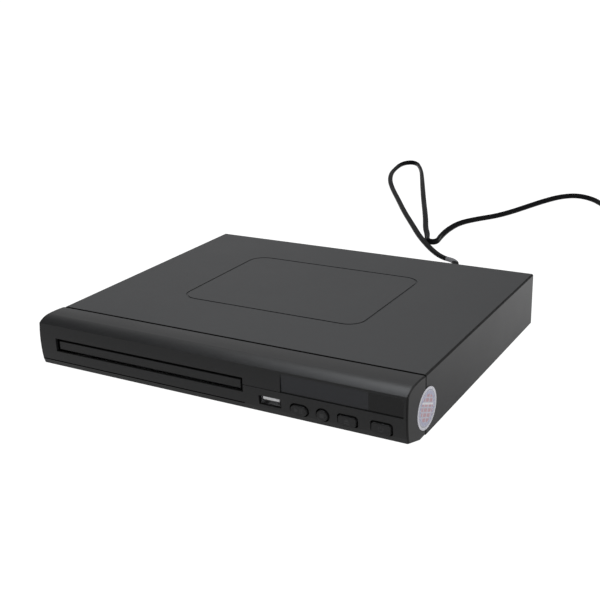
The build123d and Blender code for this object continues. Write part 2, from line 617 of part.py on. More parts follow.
def pulley_gear():
    """Belt pulley with a pinion on top."""
    wheel = grooved(PULLEY_X, GEAR_Y, PULLEY_R, 9.8)
    wheel += gear(PULLEY_X, GEAR_Y, BELT_Z + 1.0, WHEEL_Z1, PULLEY_TEETH, WHEEL_MODULE, LINE)
    return wheel - pillar(PULLEY_X, GEAR_Y, 10, 30, BORE_R)


def tray_gear():
    """Large wheel driven by the pulley's pinion, with the pinion that drives the tray's rack above it."""
    x = TRAY_GEAR_X
    wheel = gear(x, GEAR_Y, WHEEL_Z0, WHEEL_Z1, WHEEL_TEETH, WHEEL_MODULE, 180 - 180 / WHEEL_TEETH)
    for i in range(5):
        turn = math.radians(72 * i + 36)
        wheel -= pillar(x + 8.6 * math.cos(turn), GEAR_Y + 8.6 * math.sin(turn), 10, 30, 1.5)
    wheel += pillar(x, GEAR_Y, DECK_Z1 + 0.4, WHEEL_Z0 + 0.1, 3.0)
    wheel += gear(x, GEAR_Y, WHEEL_Z1 - 0.1, TRAY_Z0 - GAP, PINION_TEETH, RACK_MODULE, 0)
    return wheel - pillar(x, GEAR_Y, 10, 30, BORE_R)


# ---- clamp over the disc ----
BRIDGE_Z0 = FRAME_TOP
BRIDGE_Z1 = FRAME_TOP + 1.2
CLAMP_NECK_R = 9.0
BRIDGE_Y0 = SPIN_Y - 22.0
BRIDGE_Y1 = SPIN_Y + 22.0


def clamp_bridge():
    """Ribbed steel strap across the loader that carries the clamping puck."""
    strap = block(TRAY_X - FRAME_HALF, TRAY_X + FRAME_HALF, BRIDGE_Y0, BRIDGE_Y1, BRIDGE_Z0, BRIDGE_Z1)
    strap = fillet(strap.edges().filter_by(Axis.Z), 5.0)
    for y in (BRIDGE_Y0 + 4, BRIDGE_Y1 - 4):
        strap += block(TRAY_X - 62, TRAY_X + 62, y - 1, y + 1, BRIDGE_Z1 - 0.1, BRIDGE_Z1 + 1.2)
    for x in (-46.0, 46.0):
        strap -= pad(TRAY_X + x, SPIN_Y, BRIDGE_Z0 - 1, BRIDGE_Z1 + 1, 26.0, 20.0, 6.0)
    return strap - pillar(TRAY_X, SPIN_Y, BRIDGE_Z0 - 1, BRIDGE_Z1 + 1, CLAMP_NECK_R + 0.8)


def turned(points):
    """A solid turned about the disc's axis from (radius, height) points."""
    outline = Plane.XZ * make_face(Polyline(*points, close=True))
    return Pos(TRAY_X, SPIN_Y, 0) * revolve(outline, Axis.Z)


CLAMP_LOW = 26.9
CLAMP_TOP = BRIDGE_Z1 + GAP + 1.2
MAGNET_R = 5.9


def clamper():
    """Clamping puck: pressing ring below, neck through the bridge, flange that rests on it."""
    puck = turned([(0, 28.5), (8.2, 28.5), (8.2, CLAMP_LOW), (13.5, CLAMP_LOW), (13.5, 29.2), (CLAMP_NECK_R, 30.2),
                   (CLAMP_NECK_R, BRIDGE_Z1 + GAP), (12.5, BRIDGE_Z1 + GAP), (12.5, CLAMP_TOP), (0, CLAMP_TOP)])
    return puck - pillar(TRAY_X, SPIN_Y, 31.0, CLAMP_TOP + 1, MAGNET_R + 0.05)


def clamp_magnet():
    return pillar(TRAY_X, SPIN_Y, 31.0, CLAMP_TOP - 0.4, MAGNET_R) - pillar(TRAY_X, SPIN_Y, 30, 40, 2.0)


# ---- swinging chassis with the turntable and the pickup ----
PLATE_Z0 = 12.4
PLATE_Z1 = 14.0
CHASSIS_HALF = 45.0
CHASSIS_Y0 = -58.0
CHASSIS_Y1 = 50.0
TILT = 3.2              # degrees that the chassis swings down
CAM_TRAVEL = 20.0
CAM_PIN_R = 1.2
CAM_PIN_X = TRAY_X + 10.0
ROD_X = 26.0
ROD_Z = 18.0
ROD_R = 1.5
SLED_Y0 = -27.0
SLED_Y1 = -7.0
SLED_Z0 = 15.8
SLED_Z1 = 20.4
LENS_Y = -17.0
SLED_TRAVEL = 34.0
SLED_MODULE = 0.6
SLED_PINION = 12
SLED_WHEEL = 28
SLED_MOTOR_PINION = 10
SLED_RACK_X = TRAY_X - 31.0
SLED_GEAR_X = SLED_RACK_X - SLED_PINION * SLED_MODULE / 2
SLED_GEAR_Y = 11.0
SLED_MOTOR_Y = SLED_GEAR_Y + (SLED_WHEEL + SLED_MOTOR_PINION) * SLED_MODULE / 2


def swing_chassis():
    """Plate hinged at the rear, with a window under the pickup, rod holders and a cam pin in front."""
    plate = block(TRAY_X - CHASSIS_HALF, TRAY_X + CHASSIS_HALF, CHASSIS_Y0, CHASSIS_Y1, PLATE_Z0, PLATE_Z1)
    plate = fillet(plate.edges().filter_by(Axis.Z), 3.0)
    plate -= pad(TRAY_X, 8.0, PLATE_Z0 - 1, PLATE_Z1 + 1, 40.0, 68.0, 4.0)
    plate -= pillar(SLED_GEAR_X, SLED_MOTOR_Y, PLATE_Z0 - 1, PLATE_Z1 + 1, 4.0)
    for side in (-1, 1):
        edge = TRAY_X + side * (CHASSIS_HALF - 0.6)
        plate += block(edge - 0.6, edge + 0.6, CHASSIS_Y0 + 8, -6.0, PLATE_Z1 - 0.1, PLATE_Z1 + 3)
        pin0, pin1 = sorted((TRAY_X + side * (CHASSIS_HALF - 2), TRAY_X + side * 47.9))
        plate += bar_x(pin0, pin1, HINGE_Y, HINGE_Z, POST_R)
        for y in (-31.5, 31.0):
            rod_x = TRAY_X + side * ROD_X
            plate += block(rod_x - 2.5, rod_x + 2.5, y, y + 2.6, PLATE_Z1 - 0.1, ROD_Z + 2.2)
            plate -= bar_y(rod_x, y - 1, y + 4, ROD_Z, ROD_R + 0.01)
    plate += bar_y(CAM_PIN_X, CHASSIS_Y0 - 2.7, CHASSIS_Y0 + 2, HINGE_Z, CAM_PIN_R)
    plate += pillar(SLED_GEAR_X, SLED_GEAR_Y, PLATE_Z1 - 0.1, 18.2, 1.0)
    return plate


def guide_rods():
    return group([bar_y(TRAY_X + side * ROD_X, -31.5, 33.6, ROD_Z, ROD_R) for side in (-1, 1)])


def spindle_motor():
    """Flat motor on the chassis plate."""
    can = pillar(TRAY_X, SPIN_Y, PLATE_Z1, 20.4, 13.0)
    can = fillet(can.edges().sort_by(Axis.Z)[-1], 1.2)
    tab = block(TRAY_X - 9, TRAY_X + 9, SPIN_Y - 15.4, SPIN_Y, PLATE_Z1, PLATE_Z1 + 1.2)
    return can + tab - pillar(TRAY_X, SPIN_Y, 15.0, 22, 1.05)


def turntable():
    """Hub that centres and carries the disc, on the motor's shaft."""
    hub = turned([(0, 15.5), (1.0, 15.5), (1.0, 20.9), (13.0, 20.9), (15.0, 23.4), (15.0, 25.8), (8.4, 25.8),
                  (8.4, 25.2), (7.4, 25.2), (7.4, 26.6), (6.0, 28.0), (2.2, 28.0), (2.2, 27.2), (0, 27.2)])
    for i in range(3):
        turn = math.radians(120 * i + 30)
        hub -= Pos(TRAY_X + 7.4 * math.cos(turn), SPIN_Y + 7.4 * math.sin(turn), 26.2) * Box(1.6, 1.6, 1.2)
    return hub


def pickup_sled():
    """Pickup body on two rods, with a rack along its side and a well for the lens."""
    body = block(TRAY_X - 29.4, TRAY_X + 29.4, SLED_Y0, SLED_Y1, SLED_Z0, SLED_Z1)
    body = chamfer(body.edges().filter_by(Axis.Z), 2.0)
    body += block(TRAY_X - 17, TRAY_X + 17, SLED_Y0 + 2, SLED_Y1 - 2, 11.0, SLED_Z0 + 0.1)
    for side in (-1, 1):
        body -= bar_y(TRAY_X + side * ROD_X, SLED_Y0 - 1, SLED_Y1 + 1, ROD_Z, BORE_R)
    body -= block(TRAY_X - 10, TRAY_X + 10, LENS_Y - 7, LENS_Y + 7, 16.2, SLED_Z1 + 1)
    for side in (-1, 1):
        magnet = TRAY_X + side * 8.4
        body += block(magnet - 1.2, magnet + 1.2, LENS_Y - 5, LENS_Y + 5, 16.1, SLED_Z1 + 0.6)
    body += rack(SLED_RACK_X, SLED_Y0, 15.0, SLED_Z0, SLED_Z0 + 2.0, SLED_MODULE, SLED_GEAR_Y, -1, 1.25)
    return body


def lens_holder():
    """Moving lens holder between the focus magnets."""
    holder = block(TRAY_X - 6.6, TRAY_X + 6.6, LENS_Y - 5.4, LENS_Y + 5.4, 17.2, 21.6)
    holder = fillet(holder.edges().filter_by(Axis.Z), 1.2)
    holder -= pillar(TRAY_X, LENS_Y, 17, 22, 2.6)
    return holder + (pillar(TRAY_X, LENS_Y, 20.0, 22.4, 3.4) - pillar(TRAY_X, LENS_Y, 19, 23, 2.6))


def objective_lens():
    """Small domed lens in the holder."""
    lens = pillar(TRAY_X, LENS_Y, 20.2, 21.8, 2.6)
    return fillet(lens.edges().sort_by(Axis.Z)[-1], 0.9)


def sled_motor():
    """Flat motor under the chassis plate; its shaft comes up through the plate."""
    can = pillar(SLED_GEAR_X, SLED_MOTOR_Y, 7.6, PLATE_Z0, 7.5)
    can = fillet(can.edges().sort_by(Axis.Z)[0], 0.8)
    return can + pillar(SLED_GEAR_X, SLED_MOTOR_Y, PLATE_Z0 - 0.1, 16.0, 0.8)


def sled_pinion():
    return gear(SLED_GEAR_X, SLED_MOTOR_Y, 14.3, 15.6, SLED_MOTOR_PINION, SLED_MODULE, -90) \
        - pillar(SLED_GEAR_X, SLED_MOTOR_Y, 10, 20, 0.85)


def sled_gear():
    """Double wheel between the motor's pinion and the pickup's rack."""
    wheel = gear(SLED_GEAR_X, SLED_GEAR_Y, 14.3, 15.5, SLED_WHEEL, SLED_MODULE, 90 - 180 / SLED_WHEEL)
    wheel += gear(SLED_GEAR_X, SLED_GEAR_Y, 15.4, 17.9, SLED_PINION, SLED_MODULE, 0)
    return wheel - pillar(SLED_GEAR_X, SLED_GEAR_Y, 10, 20, 1.05)


def cam_slider():
    """Sliding plate in front of the chassis. Its sloping slot lowers the chassis's pin."""
    drop = (HINGE_Y - CHASSIS_Y0 + 2.0) * math.sin(math.radians(TILT))
    x0 = CAM_PIN_X - CAM_TRAVEL
    web = block(x0 - 12, CAM_PIN_X + 12, -60.6, -59.0, 5.0, 17.1)
    web += block(x0 - 12, CAM_PIN_X + 12, -63.2, -59.0, 16.1, 17.1)
    slope = math.degrees(math.atan2(drop, CAM_TRAVEL))
    width = 2 * (CAM_PIN_R + 0.35)
    track = Rot(0, 0, slope) * SlotOverall(math.hypot(CAM_TRAVEL, drop) + width, width)
    return web - front_shape(track, CAM_PIN_X - CAM_TRAVEL / 2, HINGE_Z - drop / 2, -62, -58)


# ======================================================================================
# Circuit boards
# ======================================================================================
DECK = BOARD_Z + BOARD_T            # upper face of the boards
MAIN = (46.0, 130.0, 20.0, REAR_Y - SHEET - 1.2)
POWER = (58.0, 128.0, -76.0, -4.0)


def screwed_board(extent, points):
    x0, x1, y0, y1 = extent
    board = block(x0, x1, y0, y1, BOARD_Z, DECK)
    for x, y in points:
        board -= pillar(x, y, BOARD_Z - 1, DECK + 1, 1.5)
    return board


def main_board():
    return screwed_board(MAIN, BOARD_BOSS)


def power_board():
    return screwed_board(POWER, POWER_BOSS)


def pan_screw(x, y, seat, head_r):
    """Screw driven down into a boss, with a cross in its head."""
    head = pillar(x, y, seat, seat + 1.5, head_r) + pillar(x, y, FLOOR_Z + 0.8, seat, 1.15)
    cross = block(x - 1.4, x + 1.4, y - 0.3, y + 0.3, seat + 0.8, seat + 2)
    return head - cross - block(x - 0.3, x + 0.3, y - 1.4, y + 1.4, seat + 0.8, seat + 2)


def inner_screws():
    """Screws that hold the loader and the two boards on the bottom sheet's bosses."""
    loader = [pan_screw(x, y, LOADER_BASE_Z + 1.6, 2.8) for x, y in LOADER_BOSS]
    boards = [pan_screw(x, y, DECK, 2.6) for x, y in BOARD_BOSS + POWER_BOSS]
    return group(loader + boards)


def chip(x, y, size, height):
    """Flat chip package with a row of legs on each side."""
    body = block(x - size / 2, x + size / 2, y - size / 2, y + size / 2, DECK + 0.2, DECK + height)
    body = chamfer(body.edges().group_by(Axis.Z)[-1], 0.3)
    count = int(size / 2.4)
    for i in range(count):
        along = (i - (count - 1) / 2) * 2.4
        body += block(x + along - 0.4, x + along + 0.4, y - size / 2 - 1.2, y + size / 2 + 1.2, DECK, DECK + 0.3)
    return body


def board_chips():
    """Decoder, memory and motor driver."""
    return group([chip(92, 62, 20, 1.8), chip(68, 60, 11, 1.4), chip(88, 36, 12, 2.2)])


RIBBON_X = 56.0         # ribbon cable's socket on the main board
RIBBON_END_X = 7.0      # ribbon's socket behind the loader
RIBBON_Y = 91.0
RIBBON_W = 9.0
RIBBON_T = 0.4
RIBBON_TOP = 25.0


def socket(x, y, wide, deep, low):
    """Open-topped plastic connector."""
    body = block(x - wide / 2, x + wide / 2, y - deep / 2, y + deep / 2, low, low + 5)
    return body - block(x - wide / 2 + 1, x + wide / 2 - 1, y - deep / 2 + 1, y + deep / 2 - 1, low + 2, low + 6)


def board_connectors():
    """Sockets for the ribbon cable and the power leads."""
    return group([socket(RIBBON_X, RIBBON_Y, 4.6, RIBBON_W + 4, DECK), socket(58, 32, 4.6, 14, DECK),
                  socket(104, 25, 16, 5, DECK), socket(90, -9, 16, 5, DECK),
                  socket(RIBBON_END_X, RIBBON_Y, 4.6, RIBBON_W + 4, FLOOR_Z)])


def can_capacitor(x, y, r, height):
    body = pillar(x, y, DECK, DECK + height, r)
    top = body.edges().sort_by(Axis.Z)[-1]
    body = fillet(top, 0.6)
    return body - block(x - r * 0.6, x + r * 0.6, y - 0.25, y + 0.25, DECK + height - 0.3, DECK + height + 1)


CAPACITORS = ((108, -52, 6.5, 20), (72, -22, 4.0, 12), (82, -18, 4.0, 12), (112, 40, 3.2, 8), (120, 60, 3.2, 8),
              (104, 44, 3.2, 8), (74, 44, 3.2, 8))


def capacitors():
    return group([can_capacitor(*each) for each in CAPACITORS])


TRANSFORMER = (88.0, -46.0)


def transformer():
    """Ferrite core of the switching transformer: two E halves round the winding."""
    x, y = TRANSFORMER
    core = block(x - 11, x + 11, y - 4, y + 4, DECK + 1, DECK + 19)
    core -= block(x - 8, x - 3.2, y - 5, y + 5, DECK + 4, DECK + 16)
    core -= block(x + 3.2, x + 8, y - 5, y + 5, DECK + 4, DECK + 16)
    return core


def transformer_winding():
    """Bobbin with its taped winding, round the core's middle leg."""
    x, y = TRANSFORMER
    coil = pad(x, y, DECK + 5.2, DECK + 14.8, 15.4, 17.0, 3.0)
    for z in (DECK + 4.0, DECK + 14.8):
        coil += pad(x, y, z, z + 1.2, 15.8, 20.0, 2.0)
    coil += block(x - 7.0, x + 7.0, y - 10, y - 6, DECK, DECK + 4.1) + block(x - 7.0, x + 7.0, y + 6, y + 10, DECK, DECK + 4.1)
    return coil - block(x - 3.2, x + 3.2, y - 4.1, y + 4.1, DECK, DECK + 20)


def heat_sink():
    """Finned aluminium on the power board."""
    fins = block(112, 122, -38.0, -16.0, DECK, DECK + 17)
    for i in range(5):
        y = -35.6 + 4.2 * i
        fins -= block(114.2, 123, y, y + 2.6, DECK + 1.5, DECK + 18)
    return fins


def av_sockets():
    """Three phono sockets in one moulded block, shells out through the rear panel."""
    front = REAR_Y - SHEET
    body = block(RCA_X[0] - 8, RCA_X[-1] + 8, front - 11, front - 0.1, DECK, 33.0)
    body = fillet(body.edges().filter_by(Axis.Z).group_by(Axis.Y)[0], 1.0)
    for x in RCA_X:
        body += bar_y(x, front - 0.2, REAR_Y + RCA_RING, RCA_Z, RCA_ROOT_R)
        body += bar_y(x, REAR_Y, REAR_Y + JACK_REACH, RCA_Z, RCA_R)
        body -= bar_y(x, REAR_Y - 4, REAR_Y + JACK_REACH + 1, RCA_Z, 1.7)
    return body


def av_collars():
    """Coloured rings round the phono sockets."""
    made = [bar_y(x, REAR_Y, REAR_Y + RCA_RING, RCA_Z, 6.2)
            - bar_y(x, REAR_Y - 1, REAR_Y + 4, RCA_Z, RCA_ROOT_R + 0.02) for x in RCA_X]
    return group(made)


def hdmi_socket():
    """Tin shell with the tapered lower corners of its plug, and a tongue inside."""
    front = REAR_Y - 0.1
    outline = Polyline((-7.5, 2.8), (7.5, 2.8), (7.5, -0.6), (5.6, -2.8), (-5.6, -2.8), (-7.5, -0.6), close=True)
    outer = make_face(outline)
    shell = front_shape(outer, HDMI_X, HDMI_Z, front - 11.0, front)
    shell -= front_shape(offset(outer, -0.4), HDMI_X, HDMI_Z, front - 10.4, front + 1)
    shell += block(HDMI_X - 5.4, HDMI_X + 5.4, front - 10.5, front - 2.0, HDMI_Z + 0.1, HDMI_Z + 1.1)
    legs = block(HDMI_X - 6.5, HDMI_X + 6.5, front - 10, front - 3, DECK, HDMI_Z - 2.7)
    return shell + legs


def ribbon_cable():
    """Flat cable that arches from the main board to the socket behind the loader."""
    points = [(RIBBON_X, RIBBON_Y, DECK + 2.2), (RIBBON_X, RIBBON_Y, RIBBON_TOP),
              (RIBBON_END_X, RIBBON_Y, RIBBON_TOP), (RIBBON_END_X, RIBBON_Y, FLOOR_Z + 2.2)]
    return sweep(Plane(points[0]) * Rectangle(RIBBON_T, RIBBON_W), FilletPolyline(*points, radius=4.0))


# ======================================================================================
# Mains lead, its coil and its plug
# ======================================================================================
CORD_R = CORD_D / 2
FLOOR_CORD = CORD_R                 # height of the lead's centre line on the floor
BOOT_L = 26.0
LEAD_Y = REAR_Y + BOOT_L
COIL_X = 156.0
COIL_Y = 470.0
COIL_R = 38.5
COIL_PITCH = 7.0
COIL_Z = 3.6
LAYER = CORD_D + 0.5
COIL_START = -120.0
COIL_TURNS = 2.25
TIE = 0.6
TAIL = 24.0             # from the last turn to the plug

# x, y and height of the lead's corners, from the boot along the floor to the coil
LEAD_ROUTE = [
    (CORD_X, LEAD_Y, CORD_Z), (CORD_X, 152.0, CORD_Z), (34.0, 181.0, FLOOR_CORD), (34.5, 212.0, FLOOR_CORD),
    (28.0, 236.0, FLOOR_CORD), (10.5, 245.0, FLOOR_CORD), (-28.5, 286.5, FLOOR_CORD), (-57.0, 331.0, FLOOR_CORD),
    (-84.0, 372.5, FLOOR_CORD), (-112.0, 419.0, FLOOR_CORD), (-138.5, 462.0, FLOOR_CORD),
    (-161.0, 501.0, FLOOR_CORD), (-178.5, 541.0, FLOOR_CORD), (-187.5, 575.0, FLOOR_CORD),
    (-191.5, 599.0, FLOOR_CORD), (-187.5, 612.0, FLOOR_CORD), (-177.0, 614.5, FLOOR_CORD),
    (-167.5, 604.0, FLOOR_CORD), (-157.5, 586.0, FLOOR_CORD), (-147.5, 567.0, FLOOR_CORD),
    (-135.0, 540.0, FLOOR_CORD), (-113.0, 490.0, FLOOR_CORD), (-84.5, 426.0, FLOOR_CORD),
    (-53.5, 358.0, FLOOR_CORD), (-38.5, 322.0, FLOOR_CORD), (-28.5, 303.0, FLOOR_CORD),
    (-20.5, 285.0, FLOOR_CORD), (-10.6, 288.0, FLOOR_CORD), (-13.8, 304.0, FLOOR_CORD),
    (-16.5, 330.0, FLOOR_CORD), (-15.0, 354.0, FLOOR_CORD), (-4.5, 374.5, FLOOR_CORD), (9.5, 393.5, FLOOR_CORD),
    (19.0, 416.5, FLOOR_CORD), (27.5, 445.0, FLOOR_CORD), (36.5, 474.0, FLOOR_CORD), (47.0, 499.0, FLOOR_CORD),
    (62.0, 511.0, FLOOR_CORD), (80.0, 502.5, FLOOR_CORD), (94.5, 485.0, FLOOR_CORD),
    (106.0, 464.5, FLOOR_CORD + 0.4),
]


def arc_radii(points):
    """Radius of the arc at each corner: 0.45 of the shorter run over the tangent of half the turn."""
    radii = []
    for before, here, after in zip(points, points[1:], points[2:]):
        run_in = Vector(here) - Vector(before)
        run_out = Vector(after) - Vector(here)
        half_turn = math.radians(run_in.get_angle(run_out)) / 2
        radii.append(0.45 * min(run_in.length, run_out.length) / math.tan(half_turn))
    return radii


def tube(path, radius):
    """A round lead along a path."""
    return sweep(Plane(path @ 0, z_dir=path % 0) * Circle(radius), path)


def coil_place(turn):
    """Centre line of the coil after a number of turns: in along the floor, up a layer, out again."""
    climb0 = COIL_TURNS / 2 - 0.25
    climb1 = COIL_TURNS / 2 + 0.25
    inward = min(turn, climb0)
    outward = max(0.0, turn - climb1)
    radius = COIL_R - COIL_PITCH * (inward - outward)
    rise = LAYER * min(1.0, max(0.0, (turn - climb0) / (climb1 - climb0)))
    angle = math.radians(COIL_START) + 2 * math.pi * turn
    return Vector(COIL_X + radius * math.cos(angle), COIL_Y + radius * math.sin(angle), COIL_Z + rise)


def coil_heading(turn):
    """Unit tangent of the coil, level at both ends."""
    step = 0.002
    low, high = max(0.0, turn - step), min(COIL_TURNS, turn + step)
    return (coil_place(high) - coil_place(low)).normalized()


def biarc(p0, t0, p1, t1):
    """Two arcs that leave p0 along t0 and arrive at p1 along t1."""
    chord = p1 - p0
    bend = 2 * (1 - t0.dot(t1))
    across = chord.dot(t0 + t1)
    reach = (-across + math.sqrt(across * across + bend * chord.dot(chord))) / bend
    joint = (p0 + t0 * reach + p1 - t1 * reach) * 0.5
    first = TangentArc(p0, joint, tangent=t0)
    return [first, TangentArc(joint, p1, tangent=first % 1)]


def coil_path():
    steps = [i * 0.25 for i in range(int(COIL_TURNS / 0.25) + 1)]
    arcs = []
    for low, high in zip(steps, steps[1:]):
        arcs += biarc(coil_place(low), coil_heading(low), coil_place(high), coil_heading(high))
    return arcs


def plug_frame():
    """Place and direction of the plug's rear face, straight on from the coil's last turn."""
    end = coil_place(COIL_TURNS)
    heading = coil_heading(COIL_TURNS)
    start = end + heading * TAIL
    return Vector(start.X, start.Y, 7.4), heading


def lead_path():
    """Straight runs with tangent arcs, ending level where the coil begins."""
    start = coil_place(0.0)
    heading = coil_heading(0.0)
    points = LEAD_ROUTE + [tuple(start - heading * 16.0), tuple(start)]
    radii = arc_radii(points)
    print("lead radii:", [round(r, 1) for r in radii])
    print("lead runs:", [round((Vector(b) - Vector(a)).length, 1) for a, b in zip(points, points[1:])])
    return FilletPolyline(*points, radius=radii)


def mains_cord():
    """The lead from the boot to the coil."""
    path = lead_path()
    lead = tube(path, CORD_R)
    print(f"lead: length {path.length:.1f}, volume over section x length {lead.volume / (path.length * math.pi * CORD_R ** 2):.4f}")
    return lead


def cord_coil():
    """The put-away length: turns in along the floor and out again on top, and the tail to the plug."""
    arcs = coil_path()
    end = coil_place(COIL_TURNS)
    heading = coil_heading(COIL_TURNS)
    target, _ = plug_frame()
    mid = (end + target) * 0.5
    arcs += [TangentArc(end, mid, tangent=heading)]
    arcs += [TangentArc(mid, target, tangent=arcs[-1] % 1)]
    path = Wire(arcs)
    marks = [path @ (i / 600) for i in range(601)]
    step = path.length / 600
    apart = int(3 * CORD_D / step) + 1
    least = min((marks[i] - marks[j]).length for i in range(601) for j in range(i + apart, 601))
    print(f"coil: length {path.length:.1f}, least gap to itself {least - CORD_D:.2f}")
    return tube(path, CORD_R)


def cord_tie():
    """Flat tie round all the turns at the side away from the player."""
    inner = COIL_R - COIL_PITCH * (COIL_TURNS / 2 - 0.25) - CORD_R - 0.6
    outer = COIL_R + CORD_R + 0.6
    low = COIL_Z - CORD_R - 0.1
    high = COIL_Z + LAYER + CORD_R + 0.4
    ring = block(inner - TIE, outer + TIE, -2, 2, low - TIE, high + TIE) - block(inner, outer, -3, 3, low, high)
    return Pos(COIL_X, COIL_Y, 0) * Rot(0, 0, 20) * ring


PLUG_L = 36.0


def plug_place(shape):
    """Moves a shape drawn along +Z from the origin to the plug's place."""
    start, heading = plug_frame()
    flat = Vector(heading.X, heading.Y, 0).normalized()
    side = Vector(-flat.Y, flat.X, 0)
    return Plane(start, x_dir=side, z_dir=flat) * shape


def mains_plug():
    """Flat two-pin plug body that swells from the lead to its face."""
    sections = [(0.0, 8.0, 7.4, 3.4), (12.0, 13.0, 11.0, 4.6), (26.0, 24.0, 13.4, 5.6), (PLUG_L, 25.6, 13.7, 5.8)]
    body = loft([Pos(0, 0, z) * RectangleRounded(wide, thick, r) for z, wide, thick, r in sections], ruled=True)
    return plug_place(body)


def plug_pins():
    """Two round pins with insulated roots."""
    pins = []
    for side in (-1, 1):
        pin = Pos(side * 9.3, 0, PLUG_L + 9.5) * Cylinder(2.0, 19.0)
        pins.append(fillet(pin.edges().sort_by(Axis.Z)[-1], 1.2))
    return plug_place(group(pins))


def strain_relief():
    """Moulded bushing clipped in the rear panel, with a tapered boot cut by ribs."""
    boot = Pos(CORD_X, REAR_Y, CORD_Z) * Rot(-90, 0, 0) * Pos(0, 0, BOOT_L / 2 + 1.5) * Cone(5.4, 3.7, BOOT_L - 3)
    collar = bar_y(CORD_X, REAR_Y, REAR_Y + 3.1, CORD_Z, 6.4)
    tip = bar_y(CORD_X, REAR_Y + BOOT_L - 0.1, REAR_Y + BOOT_L, CORD_Z, 3.7)
    neck = bar_y(CORD_X, REAR_Y - 4.0, REAR_Y + 0.1, CORD_Z, CORD_HOLE_R - 0.1)
    barb = bar_y(CORD_X, REAR_Y - 4.0, REAR_Y - 1.0, CORD_Z, 6.0)
    body = boot + collar + tip + neck + barb
    for i in range(4):
        y = REAR_Y + 6.5 + 4.5 * i
        for side in (-1, 1):
            body -= block(CORD_X + side * 5 - 2.4, CORD_X + side * 5 + 2.4, y, y + 1.8, CORD_Z - 7, CORD_Z + 7)
    return body


def inner_lead():
    """The lead inside the case, from the bushing to the power board."""
    points = [(CORD_X, REAR_Y - 4.0, CORD_Z), (CORD_X, 88.0, CORD_Z), (36.0, 60.0, 16.5), (37.0, 30.0, 16.5),
              (37.0, -10.0, 17.0), (46.0, -34.0, 17.0), (66.0, -38.0, 16.8)]
    return tube(FilletPolyline(*points, radius=arc_radii(points)), 2.4)


# ======================================================================================
# Seal sticker across the seam
# ======================================================================================
LABEL_W = 27.6
LABEL_H = 25.6
LABEL_Y = SEAM_Y + 0.2
LABEL_Z = BOTTOM_Z + 17.1
LABEL_T = 0.15


def seal_label():
    """Thin oval sticker on the right side, over the seam between fascia and cover."""
    oval = Plane((FASCIA_W / 2 + 0.02, LABEL_Y, LABEL_Z), x_dir=(0, 1, 0), z_dir=(1, 0, 0)) * Ellipse(LABEL_W / 2, LABEL_H / 2)
    return extrude(oval, LABEL_T)


# ======================================================================================
# Write every sub-part
# ======================================================================================
NODES = [
    top_cover, base_chassis, rear_panel, rear_screws, feet, front_fascia, display_window, tact_switches,
    front_board, usb_socket, usb_tongue, display_module, ir_receiver, tray, tray_door, loader_frame,
    loading_motor, motor_pulley, drive_belt, pulley_gear, tray_gear, clamp_bridge, clamper, clamp_magnet,
    swing_chassis, guide_rods, spindle_motor, turntable, pickup_sled, lens_holder, objective_lens,
    sled_motor, sled_pinion, sled_gear, cam_slider, inner_screws, main_board, power_board,
    board_chips, board_connectors, capacitors, transformer, transformer_winding, heat_sink, av_sockets,
    av_collars, hdmi_socket, ribbon_cable, inner_lead, strain_relief, mains_cord,
    cord_coil, cord_tie, mains_plug, plug_pins, seal_label,
]

for make in NODES:
    save(make.__name__, make())
for name, cap in BUTTONS.items():
    save(name, push_button(*cap))
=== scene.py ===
# %% [markdown]
# # A slim disc player and its mains lead
# The CAD model is the fixed frame: every size, gap and joint comes from it. This file only
# dresses it. It sets the camera that took the reference picture, the flexible lead, a plain
# white studio, and then one finish after another, each with the detail of the real material.

# %% Load the frame and keep its box
import bpy
import bmesh
import math
from mathutils import Matrix, Vector


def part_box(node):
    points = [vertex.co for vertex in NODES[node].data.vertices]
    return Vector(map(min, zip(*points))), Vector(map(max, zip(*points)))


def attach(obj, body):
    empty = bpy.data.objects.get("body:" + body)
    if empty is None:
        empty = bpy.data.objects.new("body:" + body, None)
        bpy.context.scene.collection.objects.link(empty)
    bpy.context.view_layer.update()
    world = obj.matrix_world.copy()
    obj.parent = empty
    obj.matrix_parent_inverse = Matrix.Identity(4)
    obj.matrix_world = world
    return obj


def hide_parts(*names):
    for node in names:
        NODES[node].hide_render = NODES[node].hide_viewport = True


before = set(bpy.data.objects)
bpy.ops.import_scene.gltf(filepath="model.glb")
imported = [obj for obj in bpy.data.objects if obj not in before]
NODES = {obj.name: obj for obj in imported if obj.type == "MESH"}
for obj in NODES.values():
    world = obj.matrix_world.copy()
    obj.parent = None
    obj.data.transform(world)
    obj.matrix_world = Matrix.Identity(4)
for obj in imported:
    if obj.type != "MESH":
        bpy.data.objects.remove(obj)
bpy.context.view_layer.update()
MM = 0.001

# %% [markdown]
# ## The camera
# The player's six visible corners fix where the camera stood: right of the front, a little
# above it, about two thirds of a metre away, and rolled by under two degrees. An object that is
# photographed from so near shows strong perspective, so the lens is set from the same fit and
# not chosen by eye.

# %% Camera
CAM_PLACE = Vector((335.59, -575.01, 275.20)) * MM
CAM_AZIMUTH, CAM_ELEVATION, CAM_ROLL = 30.17, 19.65, -1.85
FOCAL_PIXELS, PICTURE_PIXELS, SENSOR = 1001.99, 600, 36.0
CLIP_NEAR, CLIP_FAR = 0.01, 30


def camera_turn(azimuth, elevation, roll):
    """Rotation of a camera that looks from this azimuth and elevation, tilted by roll."""
    a, e, r = (math.radians(v) for v in (azimuth, elevation, roll))
    back = Vector((math.sin(a) * math.cos(e), -math.cos(a) * math.cos(e), math.sin(e)))
    right = (-back).cross(Vector((0, 0, 1))).normalized()
    up = right.cross(-back)
    right, up = right * math.cos(r) + up * math.sin(r), up * math.cos(r) - right * math.sin(r)
    return Matrix((right, up, back)).transposed().to_4x4()


